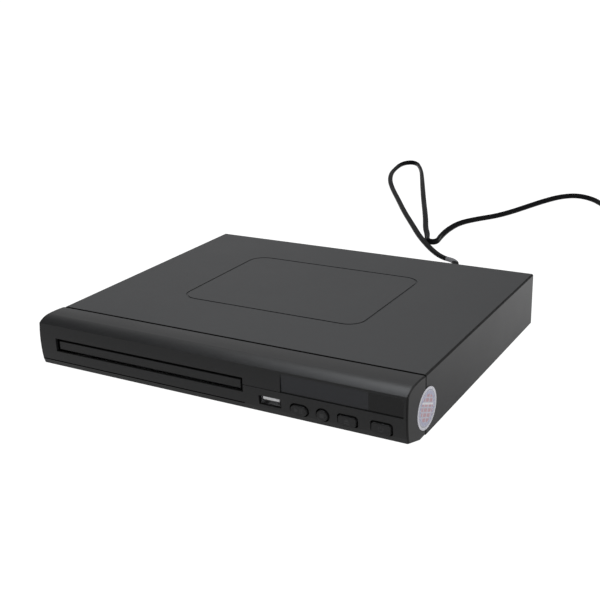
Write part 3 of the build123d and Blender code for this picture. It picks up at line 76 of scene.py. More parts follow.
camera_data = bpy.data.cameras.new("photo_camera")
camera_data.sensor_width = SENSOR
camera_data.lens = SENSOR * FOCAL_PIXELS / PICTURE_PIXELS
camera_data.clip_start, camera_data.clip_end = CLIP_NEAR, CLIP_FAR
camera = bpy.data.objects.new("photo_camera", camera_data)
bpy.context.scene.collection.objects.link(camera)
turn = camera_turn(CAM_AZIMUTH, CAM_ELEVATION, CAM_ROLL)
camera.matrix_world = Matrix.Translation(CAM_PLACE) @ turn
bpy.context.scene.camera = camera
print(f"camera lens {camera_data.lens:.1f} mm")

# %% [markdown]
# ## The mains lead
# A free lead is one length of something springy. It comes straight out of its boot, drops to the
# table, runs back in one long slack loop that closes beside itself, folds tight there, and
# wanders off to the right. It could be a tube along arcs and straight runs, but that looks like
# bent wire. A NURBS curve suits it better: a few control points, pulled smooth, give the lazy
# bends that a real sheath makes. The points are in millimetres, in the frame of the CAD model.
#
# A flat lead bends easily only round its thin side, so it stands on edge in each tight bend. The
# tilt says by how many degrees it is turned at each control point, counted from the boot.

# %% Route of the lead
LEAD_ROUTE = [
    (34, 135.9, 18), (34, 152, 18), (34, 181, 2.8), (34.5, 211, 2.8), (29.5, 232.5, 2.8),
    (9.5, 238.5, 2.8), (-28.5, 286.5, 2.8), (-57, 331, 2.8), (-84, 372.5, 2.8),
    (-112, 419, 2.8), (-138.5, 462, 2.8), (-159.5, 500, 2.8), (-174.5, 536.5, 2.8),
    (-181, 565, 2.8), (-184.5, 586.5, 2.8), (-182.5, 600.5, 2.8), (-175.5, 605.5, 2.8),
    (-165.5, 598, 2.8), (-157, 584, 2.8), (-147.5, 566.5, 2.8), (-135, 540, 2.8),
    (-113, 490, 2.8), (-84.5, 426, 2.8), (-53.5, 358, 2.8), (-38.5, 322, 2.8),
    (-28.5, 303, 2.8), (-19.0, 279.5, 2.8), (-10.0, 281.5, 2.8), (-13.8, 300, 2.8),
    (-16.5, 327, 2.8), (-15, 354, 2.8), (-4.5, 374.5, 2.8), (9.5, 393.5, 2.8),
    (19, 416.5, 2.8), (27.5, 445, 2.8), (36.5, 474, 2.8), (47, 499, 2.8), (62, 511, 2.8),
    (80, 502.5, 2.8), (94.5, 485, 2.8), (106, 464.5, 3.2),
]
LEAD_TILT = {
    # the end of the long loop
    14: 30, 15: 65, 16: 88, 17: 90, 18: 88, 19: 75, 20: 50, 21: 22,
    # the tight fold
    25: 20, 26: 75, 27: 85, 28: 60,
    # the way out to the right
    29: 40, 30: 35, 31: 35, 32: 35, 33: 35, 34: 40, 35: 45, 36: 50, 37: 50, 38: 40, 39: 20,
}
print("control points of the lead:", len(LEAD_ROUTE))

# %% [markdown]
# ## The spare length, wound up
# What the picture does not show of the lead is put away just outside it, as a lead is stored: two
# layers of round turns, in along the table and out again on top. A spiral of its own would be
# simpler, but the lead is one piece, so the turns are more control points of the same curve, and
# a short straight end leads out of them to the plug.

# %% Route of the coil
COIL_CENTRE, COIL_RADIUS, COIL_PITCH, COIL_TURNS = (156.0, 470.0), 38.5, 7.0, 2.25
COIL_START, COIL_Z, LAYER_RISE = math.radians(-120), 3.6, 6.1
LAYER_CHANGE = 0.5          # turns in which the lead climbs to the upper layer
STEPS_PER_TURN = 16
RUN_IN, RUN_OUT, RUN_OUT_DROP = 16.0, 8.0, 0.4
PLUG_LIFT, TAIL = 7.4, 24.0
A_LITTLE = 0.002            # turns between two points that give the heading


def coil_point(turn):
    """Centre line of the coil: in along the table, up one layer, out again on top."""
    climb = (COIL_TURNS - LAYER_CHANGE) / 2
    past_climb = max(0.0, turn - climb - LAYER_CHANGE)
    up_share = min(1.0, max(0.0, (turn - climb) / LAYER_CHANGE))
    radius = COIL_RADIUS - COIL_PITCH * (min(turn, climb) - past_climb)
    angle = COIL_START + 2 * math.pi * turn
    return Vector((COIL_CENTRE[0] + radius * math.cos(angle),
                   COIL_CENTRE[1] + radius * math.sin(angle), COIL_Z + LAYER_RISE * up_share))


first = coil_point(0.0)
heading_in = (coil_point(A_LITTLE) - first).normalized()
last = coil_point(COIL_TURNS)
heading_out = (last - coil_point(COIL_TURNS - A_LITTLE)).normalized()
coil_steps = int(STEPS_PER_TURN * COIL_TURNS)
coil_route = [first - heading_in * RUN_IN]
coil_route += [coil_point(i / STEPS_PER_TURN) for i in range(coil_steps + 1)]
plug_place = last + heading_out * TAIL
plug_place.z = PLUG_LIFT
coil_route += [last + heading_out * RUN_OUT - Vector((0, 0, RUN_OUT_DROP)),
               plug_place - heading_out * RUN_OUT, plug_place]
print("control points of the coil:", len(coil_route))

# %% [markdown]
# ## Two cores side by side
# The lead is two insulated cores moulded together, so its section is a flat figure of eight with
# a shallow valley on each side. Two round tubes would do on a straight run, but they would cross
# in each tight bend. Here the section is drawn once and swept along the curve, which keeps the
# valley running all the way. It is drawn with half its width as the unit, and the radius of each
# control point brings it to its real size.

# %% Section of the lead
LEAD_WIDTH, LEAD_THICK = 5.6, 3.3
CORE_ARC, CORE_STEPS = 112, 14      # degrees of each core that show on either side of its middle


def closed_poly_curve(name, points):
    """A flat closed outline, used as the section of a swept curve."""
    data = bpy.data.curves.new(name, "CURVE")
    data.dimensions = "2D"
    line = data.splines.new("POLY")
    line.points.add(len(points) - 1)
    for knot, (x, y) in zip(line.points, points):
        knot.co = (x, y, 0, 1)
    line.use_cyclic_u = True
    made = bpy.data.objects.new(name, data)
    bpy.context.scene.collection.objects.link(made)
    made.hide_render = made.hide_viewport = True
    return made


def twin_section(width, thick):
    """Two round cores side by side with a shallow valley between them, in half widths."""
    core = thick / width
    steps = range(CORE_STEPS + 1)
    angles = [math.radians(-CORE_ARC + 2 * CORE_ARC * i / CORE_STEPS) for i in steps]
    half = [(1 - core + core * math.cos(a), core * math.sin(a)) for a in angles]
    return half + [(-x, -y) for x, y in half]


section = closed_poly_curve("lead_section", twin_section(LEAD_WIDTH, LEAD_THICK))
print("corners of the section:", 2 * (CORE_STEPS + 1))

# %% The lead itself
lead_data = bpy.data.curves.new("mains_lead", "CURVE")
lead_data.dimensions = "3D"
lead_data.bevel_mode = "OBJECT"
lead_data.bevel_object = section
lead_data.twist_mode = "Z_UP"
lead_data.use_fill_caps = True
lead_line = lead_data.splines.new("NURBS")
lead_points = [Vector(p) for p in LEAD_ROUTE] + coil_route
lead_line.points.add(len(lead_points) - 1)
for index, (knot, place) in enumerate(zip(lead_line.points, lead_points)):
    knot.co = (*(place * MM), 1)
    knot.tilt = math.radians(LEAD_TILT.get(index, 0))
    knot.radius = LEAD_WIDTH / 2 * MM
lead_line.order_u = 3
lead_line.use_endpoint_u = True
lead_line.resolution_u = 8
mains_lead = bpy.data.objects.new("mains_lead", lead_data)
bpy.context.scene.collection.objects.link(mains_lead)
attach(mains_lead, "case")
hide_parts("mains_cord", "cord_coil")
print("lead made from", len(lead_points), "points")

# %% [markdown]
# ## Helpers for node trees
# Every material and backdrop below is a tree of nodes. Each could be wired by hand, node by node,
# but the same few joints come again and again: one of two colours, a product, a number that
# fades from one place to another. Short functions for these let each finish read as a recipe.

# %% Nodes and links
def new_material(name):
    """An empty node material and its node tree."""
    made = bpy.data.materials.new(name)
    made.use_nodes = True
    made.node_tree.nodes.clear()
    return made, made.node_tree


def add(tree, kind, **values):
    """One node of a tree with its plain settings."""
    node = tree.nodes.new(kind)
    for key, value in values.items():
        setattr(node, key, value)
    return node


def feed(tree, socket, value):
    """Gives a socket a number, a colour, or what another socket puts out."""
    if isinstance(value, bpy.types.NodeSocket):
        tree.links.new(value, socket)
    elif isinstance(value, tuple):
        socket.default_value = (*value, 1)
    else:
        socket.default_value = value


def mixed(tree, kind, factor, a, b):
    """A towards B by a factor, for numbers (FLOAT) or colours (RGBA)."""
    node = add(tree, "ShaderNodeMix", data_type=kind)
    for key, value in (("Factor", factor), ("A", a), ("B", b)):
        feed(tree, node.inputs[key], value)
    return node.outputs["Result"]


print("node helpers: new_material, add, feed, mixed")

# %% Numbers and places
def math_node(tree, operation, a, b=0.0, clamp=False):
    """One calculation with two numbers or sockets."""
    node = add(tree, "ShaderNodeMath", operation=operation, use_clamp=clamp)
    feed(tree, node.inputs[0], a)
    feed(tree, node.inputs[1], b)
    return node.outputs[0]


def times(tree, a, b):
    """The product of two numbers; of two masks, 1 where both are 1."""
    return math_node(tree, "MULTIPLY", a, b)


def graded(tree, value, low, high, at_low=0.0, at_high=1.0, way="LINEAR"):
    """A number that runs from one value to another while its source runs from low to high."""
    node = add(tree, "ShaderNodeMapRange", interpolation_type=way)
    limits = (("From Min", low), ("From Max", high), ("To Min", at_low), ("To Max", at_high))
    for key, limit in (("Value", value), *limits):
        feed(tree, node.inputs[key], limit)
    return node.outputs["Result"]


def axes_of(tree, output="Object"):
    """The three coordinates of a texture coordinate, such as Object or Normal."""
    split = add(tree, "ShaderNodeSeparateXYZ")
    feed(tree, split.inputs[0], add(tree, "ShaderNodeTexCoord").outputs[output])
    return split.outputs


print("number helpers: math_node, times, graded, axes_of")

# %% [markdown]
# ## The studio floor
# The picture is a cut-out on pure white, so the white comes from what the camera sees, not from
# strong lamps: the floor glows white for the camera only. To the player it is weaker, and weakest
# in front, so that the black face stays dark while the side, which mirrors the bright floor
# behind it, goes grey. A small share of plain paint in the floor keeps a faint shadow.

# %% Floor
FLOOR_SIZE, FLOOR_DROP = 12.0, -0.0002      # metres
FLOOR_PAINT = (0.86, 0.86, 0.86)
CAMERA_WHITE, SHADOW_SHARE = 1.12, 0.08
FLOOR_FRONT, FLOOR_BACK = 0.36, 1.25        # how bright polished parts see it, front to back
FLOOR_FADE = -0.03, 0.32                    # where along y it brightens, metres

floor_material, tree = new_material("studio_white")
floor_out = add(tree, "ShaderNodeOutputMaterial")
floor_paint = add(tree, "ShaderNodeBsdfDiffuse")
floor_glow = add(tree, "ShaderNodeEmission")
floor_mix = add(tree, "ShaderNodeMixShader")
path = add(tree, "ShaderNodeLightPath").outputs
mirrored = graded(tree, axes_of(tree)["Y"], *FLOOR_FADE, FLOOR_FRONT, FLOOR_BACK)
glow = mixed(tree, "FLOAT", path["Is Glossy Ray"], CAMERA_WHITE, mirrored)
glow_share = mixed(tree, "FLOAT", path["Is Diffuse Ray"], 1 - SHADOW_SHARE, 0.0)
feed(tree, floor_paint.inputs["Color"], FLOOR_PAINT)
feed(tree, floor_glow.inputs["Strength"], glow)
for socket, source in enumerate((glow_share, floor_paint.outputs[0], floor_glow.outputs[0])):
    feed(tree, floor_mix.inputs[socket], source)
feed(tree, floor_out.inputs[0], floor_mix.outputs[0])

half = FLOOR_SIZE / 2
floor_corners = [(-half, -half, 0), (half, -half, 0), (half, half, 0), (-half, half, 0)]
floor_mesh = bpy.data.meshes.new("studio_floor")
floor_mesh.from_pydata(floor_corners, [], [(0, 1, 2, 3)])
floor_mesh.materials.append(floor_material)
studio_floor = bpy.data.objects.new("studio_floor", floor_mesh)
studio_floor.location.z = FLOOR_DROP
bpy.context.scene.collection.objects.link(studio_floor)
print("floor", FLOOR_SIZE, "m wide")

# %% [markdown]
# ## The sky and the lamps
# The sky does the same as the floor: white for the camera, weaker as light, and graded for what
# mirrors it, from dark in front and right to pale behind and left. Big soft boxes on all sides
# would do the same, but each would show in the gloss as a patch with edges. Two soft lamps model
# the shapes, one high behind and one far to the right. A third hangs over the middle: its
# reflection is the pale streak on the rounded brow, which dies away to the left as the brow turns
# out of its mirror.

# %% Sky
SKY_LIGHT, SKY_WHITE = 0.55, 1.25       # as light, and to the camera; its own colour is 0.8
SKY_SIDES = (("X", -0.65, 0.25, 0.64, 0.04),    # axis, two headings along it, and how bright
             ("Y", 0.22, 0.80, 0.16, 1.0))      # polished parts see the sky at each of them

sky = bpy.data.worlds.new("studio_world")
bpy.context.scene.world = sky
sky.use_nodes = True
tree = sky.node_tree
tree.nodes.clear()
sky_out = add(tree, "ShaderNodeOutputWorld")
sky_glow = add(tree, "ShaderNodeBackground")
path = add(tree, "ShaderNodeLightPath").outputs
seen = mixed(tree, "FLOAT", path["Is Diffuse Ray"], SKY_WHITE, SKY_LIGHT)
heading = axes_of(tree, "Generated")
across, along = (graded(tree, heading[side], *limits) for side, *limits in SKY_SIDES)
mirrored = times(tree, across, along)
feed(tree, sky_glow.inputs["Strength"], mixed(tree, "FLOAT", path["Is Glossy Ray"], seen, mirrored))
feed(tree, sky_out.inputs[0], sky_glow.outputs[0])
print("sky light:", SKY_LIGHT)

# %% Lamps
def soft_lamp(name, place, aim, size, watts, tint):
    """A rectangular area lamp that faces a point."""
    data = bpy.data.lights.new(name, "AREA")
    data.shape = "RECTANGLE"
    data.size, data.size_y = size
    data.energy = watts
    data.color = tint
    lamp = bpy.data.objects.new(name, data)
    lamp.location = place
    lamp.rotation_euler = (Vector(aim) - Vector(place)).to_track_quat("-Z", "Y").to_euler()
    bpy.context.scene.collection.objects.link(lamp)


soft_lamp("lamp_above", place=(-0.3, 0.9, 1.7), aim=(0, 0, 0), size=(1.4, 0.8), watts=3,
          tint=(0.97, 0.99, 1.0))
soft_lamp("lamp_right", place=(1.5, 0.4, 0.8), aim=(0.1, 0, 0), size=(0.9, 0.9), watts=7,
          tint=(1.0, 0.97, 0.96))
soft_lamp("lamp_brow", place=(-0.10, 0.05, 1.2), aim=(-0.10, 0.051, 0.0), size=(0.70, 0.85),
          watts=7.2, tint=(0.93, 0.96, 1.0))
bpy.context.scene.view_settings.view_transform = "Standard"
print("lamps:", len(bpy.data.lights))

# %% [markdown]
# ## Effects that many finishes share
# Moulded plastic, powder coat, rubber and bare metal differ in a few numbers only: how coarse
# the grain is, how deep, and how uneven the gloss has become. Each such effect is one node
# group, built once, and every material below places it with its own values. All of them are
# drawn over the object's own coordinates, so that the grain keeps its real size on every piece.

# %% Making a group, and noise in it
def shader_group(name, inputs, outputs):
    """An empty shader node group with named number sockets, and its input and output nodes."""
    group = bpy.data.node_groups.new(name, "ShaderNodeTree")
    new_socket = group.interface.new_socket
    for label, value in inputs:
        socket = new_socket(name=label, in_out="INPUT", socket_type="NodeSocketFloat")
        socket.default_value = value
    for label in outputs:
        new_socket(name=label, in_out="OUTPUT", socket_type="NodeSocketFloat")
    return group, add(group, "NodeGroupInput").outputs, add(group, "NodeGroupOutput").inputs


def noise(tree, vector, scale, detail=2.0, rough=0.55):
    """Noise over a vector, from 0 to 1."""
    node = add(tree, "ShaderNodeTexNoise", noise_dimensions="3D")
    settings = (("Vector", vector), ("Scale", scale), ("Detail", detail), ("Roughness", rough))
    for key, value in settings:
        feed(tree, node.inputs[key], value)
    return node.outputs["Fac"]


print("group helpers: shader_group, noise")

# %% [markdown]
# ### Grain
# A mould and a powder coat both leave a fine even pebble. A picture of one could be wrapped round
# each part, but it would need seams and would stretch at the corners. Noise has neither fault,
# and a second, coarser noise under the first keeps it from looking like a pattern.

# %% Grain
COARSER = 0.23              # scale of the coarser noise against the fine one
grain_group, given, out = shader_group(
    "surface_grain", [("Scale", 2500.0), ("Coarse Share", 0.3)], ["Height", "Tone"])
place = add(grain_group, "ShaderNodeTexCoord").outputs["Object"]
fine = noise(grain_group, place, given["Scale"])
coarse_scale = times(grain_group, given["Scale"], COARSER)
coarse = noise(grain_group, place, coarse_scale)
coarse_part = times(grain_group, coarse, given["Coarse Share"])
feed(grain_group, out["Height"], math_node(grain_group, "ADD", fine, coarse_part))
feed(grain_group, out["Tone"], fine)
print("grain group:", grain_group.name)

# %% [markdown]
# ### Marks
# Nobody wipes a player evenly. Broad patches, some centimetres wide, are a little glossier or
# duller than their neighbours, and specks of dust stay in some of them. One mask gives both: it
# steers the gloss, and it thins out a field of fine specks.

# %% Marks
SPECK_SCALE, SPECK_LIMIT, SPECK_GAIN = 900.0, 0.66, 9.0
marks_group, given, out = shader_group(
    "handling_marks", [("Scale", 18.0), ("Contrast", 2.2)], ["Mask", "Dust"])
place = add(marks_group, "ShaderNodeTexCoord").outputs["Object"]
patches = noise(marks_group, place, given["Scale"], detail=4.0, rough=0.6)
centred = math_node(marks_group, "SUBTRACT", patches, 0.5)
stretched = times(marks_group, centred, given["Contrast"])
mask = math_node(marks_group, "ADD", stretched, 0.5, clamp=True)
specks = noise(marks_group, place, SPECK_SCALE, rough=0.7)
speck_cut = math_node(marks_group, "SUBTRACT", specks, SPECK_LIMIT)
speck_gain = math_node(marks_group, "MULTIPLY", speck_cut, SPECK_GAIN, clamp=True)
feed(marks_group, out["Mask"], mask)
feed(marks_group, out["Dust"], times(marks_group, speck_gain, mask))
print("marks group:", marks_group.name)

# %% [markdown]
# ### Drawn lines
# Rolled sheet, ground rods and turned cans show fine lines that run one way. Scratches could be
# drawn one by one, but noise that is stretched along one axis gives thousands of them at once.

# %% Drawn lines
drawn_group, given, out = shader_group(
    "drawn_lines", [("Along", 60.0), ("Across", 3200.0)], ["Height", "Tone"])
stretch = add(drawn_group, "ShaderNodeCombineXYZ")
for axis, label in (("X", "Across"), ("Y", "Along"), ("Z", "Across")):
    feed(drawn_group, stretch.inputs[axis], given[label])
scaled = add(drawn_group, "ShaderNodeVectorMath", operation="MULTIPLY")
feed(drawn_group, scaled.inputs[0], add(drawn_group, "ShaderNodeTexCoord").outputs["Object"])
feed(drawn_group, scaled.inputs[1], stretch.outputs[0])
lines = noise(drawn_group, scaled.outputs[0], 1.0)
feed(drawn_group, out["Height"], lines)
feed(drawn_group, out["Tone"], lines)
print("groups:", [g.name for g in bpy.data.node_groups])

# %% [markdown]
# ## One way to build a finish
# All finishes are one recipe with other numbers. The colour wavers with the grain, a little dust
# lies in the wiped patches, the gloss changes slowly over the surface, and the grain is also
# raised as a bump. A row of numbers per material is easier to compare than forty trees made one
# by one.

# %% Finish
GRAIN, DRAWN = "surface_grain", "drawn_lines"
DUST = (0.42, 0.41, 0.39)
BRIGHTEST, GLOSSIEST = 0.95, 0.03
GRAIN_HEIGHT = 0.0002       # metres


def tinted(colour, factor):
    """A colour made lighter or darker, kept inside what a surface can be."""
    return tuple(min(BRIGHTEST, c * factor) for c in colour)


def finish(name, colour, roughness, effect=GRAIN, size=2500.0, depth=0.25, tone=0.12,
           uneven=0.08, dust=0.0, cloud=0.0, **plain):
    """A Principled material: grain in its colour and bump, marks in its roughness, thin dust."""
    made, tree = new_material(name)
    shader = add(tree, "ShaderNodeBsdfPrincipled")
    feed(tree, add(tree, "ShaderNodeOutputMaterial").inputs[0], shader.outputs[0])
    for key, value in plain.items():
        label = "IOR" if key == "ior" else key.replace("_", " ").title()
        shader.inputs[label].default_value = value
    texture = add(tree, "ShaderNodeGroup", node_tree=bpy.data.node_groups[effect])
    texture.inputs["Scale" if effect == GRAIN else "Across"].default_value = size
    marks = add(tree, "ShaderNodeGroup", node_tree=marks_group).outputs
    base = mixed(tree, "RGBA", texture.outputs["Tone"],
                 tinted(colour, 1 - tone), tinted(colour, 1 + tone))
    if cloud:
        share = times(tree, marks["Mask"], 0.5)
        base = mixed(tree, "RGBA", share, base, tinted(colour, 1 + 3 * cloud))
    if dust:
        share = times(tree, marks["Dust"], dust)
        base = mixed(tree, "RGBA", share, base, DUST)
    feed(tree, shader.inputs["Base Color"], base)
    feed(tree, shader.inputs["Roughness"],
         graded(tree, marks["Mask"], 0.0, 1.0, max(GLOSSIEST, roughness - uneven),
                min(1.0, roughness + uneven)))
    bump = add(tree, "ShaderNodeBump")
    for key, value in (("Strength", depth), ("Distance", GRAIN_HEIGHT),
                       ("Height", texture.outputs["Height"])):
        feed(tree, bump.inputs[key], value)
    feed(tree, shader.inputs["Normal"], bump.outputs["Normal"])
    return made


print("finish: colour, roughness, effect, size, depth, tone, uneven, dust, cloud")

# %% [markdown]
# ## Painted shade by mask
# Cut edges, folds and seams get painted shade, darker than the face beside them. It could be
# painted on a flat picture of each part, but a rule on the place or on the normal does it with
# nothing to unwrap. A value over one limit and under another makes a mask, 1 inside and 0
# outside, and by that mask the finish turns dark and dull.

# %% Masks
def above(tree, value, limit):
    """1 where a value is over a limit."""
    return math_node(tree, "GREATER_THAN", value, limit)


def below(tree, value, limit):
    """1 where a value is under a limit."""
    return math_node(tree, "LESS_THAN", value, limit)


def band(tree, value, low, high):
    """1 where a value lies between two limits."""
    return times(tree, above(tree, value, low), below(tree, value, high))


def on_corner(tree, low, high, *axes):
    """1 on a rounded corner, where the normal leans between the named axes; soft at its rims."""
    normal = axes_of(tree, "Normal")
    mask = 1.0
    for axis in axes:
        size = math_node(tree, "ABSOLUTE", normal[axis])
        mask = times(tree, mask, graded(tree, size, low, high, way="SMOOTHSTEP"))
    return mask


print("masks: above, below, band, on_corner")

# %% Changing a finish, and putting it on
def parts_of(made):
    """A material's node tree and its Principled shader's inputs."""
    return made.node_tree, made.node_tree.nodes["Principled BSDF"].inputs


def painted_shade_or_highlight(made, mask, colour, roughness):
    """Where the mask is 1, the finish turns to one colour and a dull gloss: painted shade, or a
    painted highlight.
    """
    tree, inputs = parts_of(made)
    for key, kind, value in (("Base Color", "RGBA", colour), ("Roughness", "FLOAT", roughness)):
        before = inputs[key].links[0].from_socket
        feed(tree, inputs[key], mixed(tree, kind, mask, before, value))


def dress(made, *names):
    """Gives one material to CAD nodes or pieces, by name or as objects."""
    for name in names:
        piece = NODES[name] if isinstance(name, str) else name
        piece.data.materials.clear()
        piece.data.materials.append(made)


print("finish helpers: parts_of, darkened, dress")

# %% [markdown]
# ## The cover
# The cover is thin steel with a satin powder coat: charcoal, with a fine even pebble that keeps
# its reflections soft, and slow cloudy changes where it has been handled. The folded edges get
# near-black painted shade, and so does the cut edge at the seam. Both are laid over the paint by
# masks, one from the normal and one from the place along y.

# %% Cover
SHADOW = (0.002, 0.002, 0.002)
SEAM_SHADE_EDGE = -89.75           # painted shade of the seam from the front back to here, mm
FOLD_SHADE = 0.06, 0.28    # how far the normal leans where a fold's painted shade begins and is full
cover_paint = finish("cover_paint", (0.028, 0.0285, 0.0295), 0.46, size=1700.0, depth=0.22,
                     tone=0.10, uneven=0.03, dust=0.10, cloud=0.07)
tree = cover_paint.node_tree
# painted shade: near black on the folded edges, then on the cover's edge at the seam
painted_shade_or_highlight(cover_paint, on_corner(tree, *FOLD_SHADE, "X", "Z"), (0.003, 0.003, 0.003), 0.75)
painted_shade_or_highlight(cover_paint, below(tree, axes_of(tree)["Y"], SEAM_SHADE_EDGE * MM), SHADOW, 0.9)
dress(cover_paint, "top_cover", "rear_panel")
print("cover's cut edge at y =", SEAM_SHADE_EDGE, "mm")

# %% [markdown]
# ## The fascia and its door
# The fascia is black styrene, a little glossier and finer than the paint. Three fine lines of
# painted shade draw it: on the rounded edge of each end, over the fold of the toe, and on the lip
# that goes in under the cover. They are places where hardly any light comes back, not grooves, so
# the shade is painted by masks on the finish, and the moulding keeps its shape.

# %% Fascia
LIP_SHADE_FROM = -92.35           # painted shade on the lip from here back, mm
END_SHADE = 0.08, 0.94       # how far the normal leans sideways where an end's rounded edge gets painted shade
TOE_SHADE, TOE_SHADE_END = (13.1, 13.9), 28.0     # height of the painted shade line over the toe, and how far right it goes, mm
BLACK_STYRENE = dict(colour=(0.0115, 0.0115, 0.0119), roughness=0.37, size=3200.0, depth=0.10,
                     tone=0.08, uneven=0.03, dust=0.05)
dress(finish("fascia_plastic", **BLACK_STYRENE), "tray_door")
fascia_shell = finish("fascia_shell", **BLACK_STYRENE)
tree, inputs = parts_of(fascia_shell)
leaning = math_node(tree, "ABSOLUTE", axes_of(tree, "Normal")["X"])
place = axes_of(tree)
low, high = (limit * MM for limit in TOE_SHADE)
toe_shade = times(tree, band(tree, place["Z"], low, high),
                 below(tree, place["X"], TOE_SHADE_END * MM))
# painted shade on the rounded ends, on the line over the toe, and on the lip at the seam
painted_shade_or_highlight(fascia_shell, band(tree, leaning, *END_SHADE), (0.004, 0.004, 0.004), 0.55)
painted_shade_or_highlight(fascia_shell, toe_shade, SHADOW, 0.8)
feed(tree, inputs["Metallic"], toe_shade)    # a black metal gives back no light, as a shadow
painted_shade_or_highlight(fascia_shell, above(tree, place["Y"], LIP_SHADE_FROM * MM), SHADOW, 0.9)
dress(fascia_shell, "front_fascia")
print("line over the toe ends at x =", TOE_SHADE_END, "mm")

# %% [markdown]
# ## Buttons, base and screws
# The button caps come from another mould, so they are a shade lighter and less even than the
# fascia. The base is bare zinc-plated sheet with the lines of the rolling mill, the feet are dull
# rubber that has picked up dust, and the screws are bright turned steel. The recipe with its own
# numbers is enough for all of them.

# %% Buttons, base, feet and screws
dress(finish("button_plastic", (0.0120, 0.0120, 0.0124), 0.38, size=3600.0, depth=0.10, tone=0.10,
             uneven=0.06), "play_button", "stop_button", "eject_button", "power_button")
dress(finish("zinc_sheet", (0.60, 0.61, 0.62), 0.34, effect=DRAWN, size=2600.0, depth=0.12,
             tone=0.08, metallic=1.0), "base_chassis")
dress(finish("foot_rubber", (0.02, 0.02, 0.02), 0.82, size=1500.0, depth=0.3, dust=0.25), "feet")
dress(finish("screw_steel", (0.34, 0.34, 0.35), 0.32, effect=DRAWN, size=3000.0, metallic=1.0),
      "rear_screws", "inner_screws")
print("materials so far:", len(bpy.data.materials))

# %% [markdown]
# ## The display window
# The window is one smooth pane of dyed plastic. It is a little clearer and bluer over the display
# itself, and almost black beyond, where it only covers the board. Two panes would leave a joint
# that the real one lacks, so one step along x tells the two tones apart. The low roughness gives
# the glossy look next to the satin fascia.

# %% Display window
WINDOW_STEP = 111.0         # the pane is clearer over the display up to here, mm
CLEAR_PANE, DARK_PANE = (0.0155, 0.0160, 0.0185), (0.0025, 0.0025, 0.0026)
window_plastic = finish("window_plastic", CLEAR_PANE, 0.14, size=800.0, depth=0.02, tone=0.05,
                        uneven=0.03)
tree, inputs = parts_of(window_plastic)
beyond = above(tree, axes_of(tree)["X"], WINDOW_STEP * MM)
feed(tree, inputs["Base Color"], mixed(tree, "RGBA", beyond, CLEAR_PANE, DARK_PANE))
dress(window_plastic, "display_window")
print("window darker beyond x =", WINDOW_STEP, "mm")

# %% [markdown]
# ## Sockets
# Connector shells are tin-plated steel, bright but not mirror-clean. The rim of the USB shell gets
# painted shade, so the bright tongue stands in a dark frame: a mask on the first half millimetre
# behind the front does that.

# %% Connector finishes
TIN_PLATE = dict(colour=(0.80, 0.80, 0.81), effect=DRAWN, size=1800.0, depth=0.06, tone=0.05,
                 uneven=0.06, metallic=1.0)
RIM_SHADE_DEPTH = 0.45            # mm
dress(finish("connector_shell", roughness=0.20, **TIN_PLATE), "hdmi_socket", "av_sockets")
usb_shell = finish("usb_shell", roughness=0.24, **TIN_PLATE)
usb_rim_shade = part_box("usb_socket")[0].y + RIM_SHADE_DEPTH * MM
tree = usb_shell.node_tree
# painted shade on the first half millimetre of the shell behind its front
painted_shade_or_highlight(usb_shell, below(tree, axes_of(tree)["Y"], usb_rim_shade), (0.03, 0.03, 0.03), 0.6)
dress(usb_shell, "usb_socket")
dress(finish("tongue_plastic", (0.78, 0.78, 0.78), 0.45, size=2600.0), "usb_tongue")
print(f"tarnished rim up to y = {usb_rim_shade / MM:.2f} mm")

# %% [markdown]
# ## Lead, plug and boot
# The sheath is soft black vinyl with hardly any gloss, so its index of refraction is set low.
# Just behind the case one short light grey stretch is a painted highlight, where the flat side
# catches the light. Plug and boot are the same firm moulding.

# %% Finishes of the lead
HIGHLIGHT_FROM_X, HIGHLIGHT_Y = 18, (228, 242)      # mm
cord_sheath = finish("cord_sheath", (0.0070, 0.0070, 0.0075), 0.36, size=900.0, depth=0.12,
                     tone=0.10, uneven=0.06, dust=0.04, ior=1.09)
tree = cord_sheath.node_tree
place = axes_of(tree)
# painted highlight: light grey where the flat side of the lead catches the light
painted_highlight = times(tree, above(tree, place["X"], HIGHLIGHT_FROM_X * MM),
                band(tree, place["Y"], *(limit * MM for limit in HIGHLIGHT_Y)))
painted_shade_or_highlight(cord_sheath, painted_highlight, (0.15, 0.15, 0.155), 0.5)
dress(cord_sheath, mains_lead, "inner_lead")
dress(finish("plug_moulding", (0.018, 0.018, 0.0185), 0.48, size=1600.0, depth=0.16,
             dust=0.12), "mains_plug", "strain_relief")
dress(finish("plug_pin_plate", (0.74, 0.70, 0.60), 0.24, effect=DRAWN, size=2400.0,
             metallic=1.0), "plug_pins")
dress(finish("tie_wire", (0.03, 0.03, 0.03), 0.35, size=2000.0), "cord_tie")
print("materials so far:", len(bpy.data.materials))

# %% [markdown]
# ## The mechanism inside
# Behind the tray door almost everything is moulded: a black loader frame, milk-white acetal
# gears, a dark disc tray with a fine grain. The turning and sliding metal is plated steel, and
# the optical pickup is a small grey casting with a coated lens. These pieces show through the
# tray opening and whenever the tray is out, so each one gets its own finish too, from a table.

# %% Moulded parts of the mechanism
MOULDED = {     # nodes, colour, roughness, grain
    "tray_plastic": (("tray",), (0.021, 0.021, 0.022), 0.40, 3000.0),
    "loader_plastic": (("loader_frame",), (0.028, 0.028, 0.030), 0.52, 2200.0),
    "acetal_white": (("motor_pulley", "pulley_gear", "tray_gear", "sled_pinion", "sled_gear",
                      "cam_slider"), (0.70, 0.69, 0.64), 0.42, 1500.0),
    "turntable_plastic": (("turntable", "clamper"), (0.032, 0.032, 0.034), 0.45, 2400.0),
    "belt_rubber": (("drive_belt",), (0.014, 0.014, 0.014), 0.75, 1800.0),
    "holder_plastic": (("lens_holder",), (0.02, 0.02, 0.022), 0.5, 2800.0),
}
for name, (members, colour, roughness, size) in MOULDED.items():
    dress(finish(name, colour, roughness, size=size, depth=0.12, dust=0.05), *members)
print("moulded finishes:", len(MOULDED))

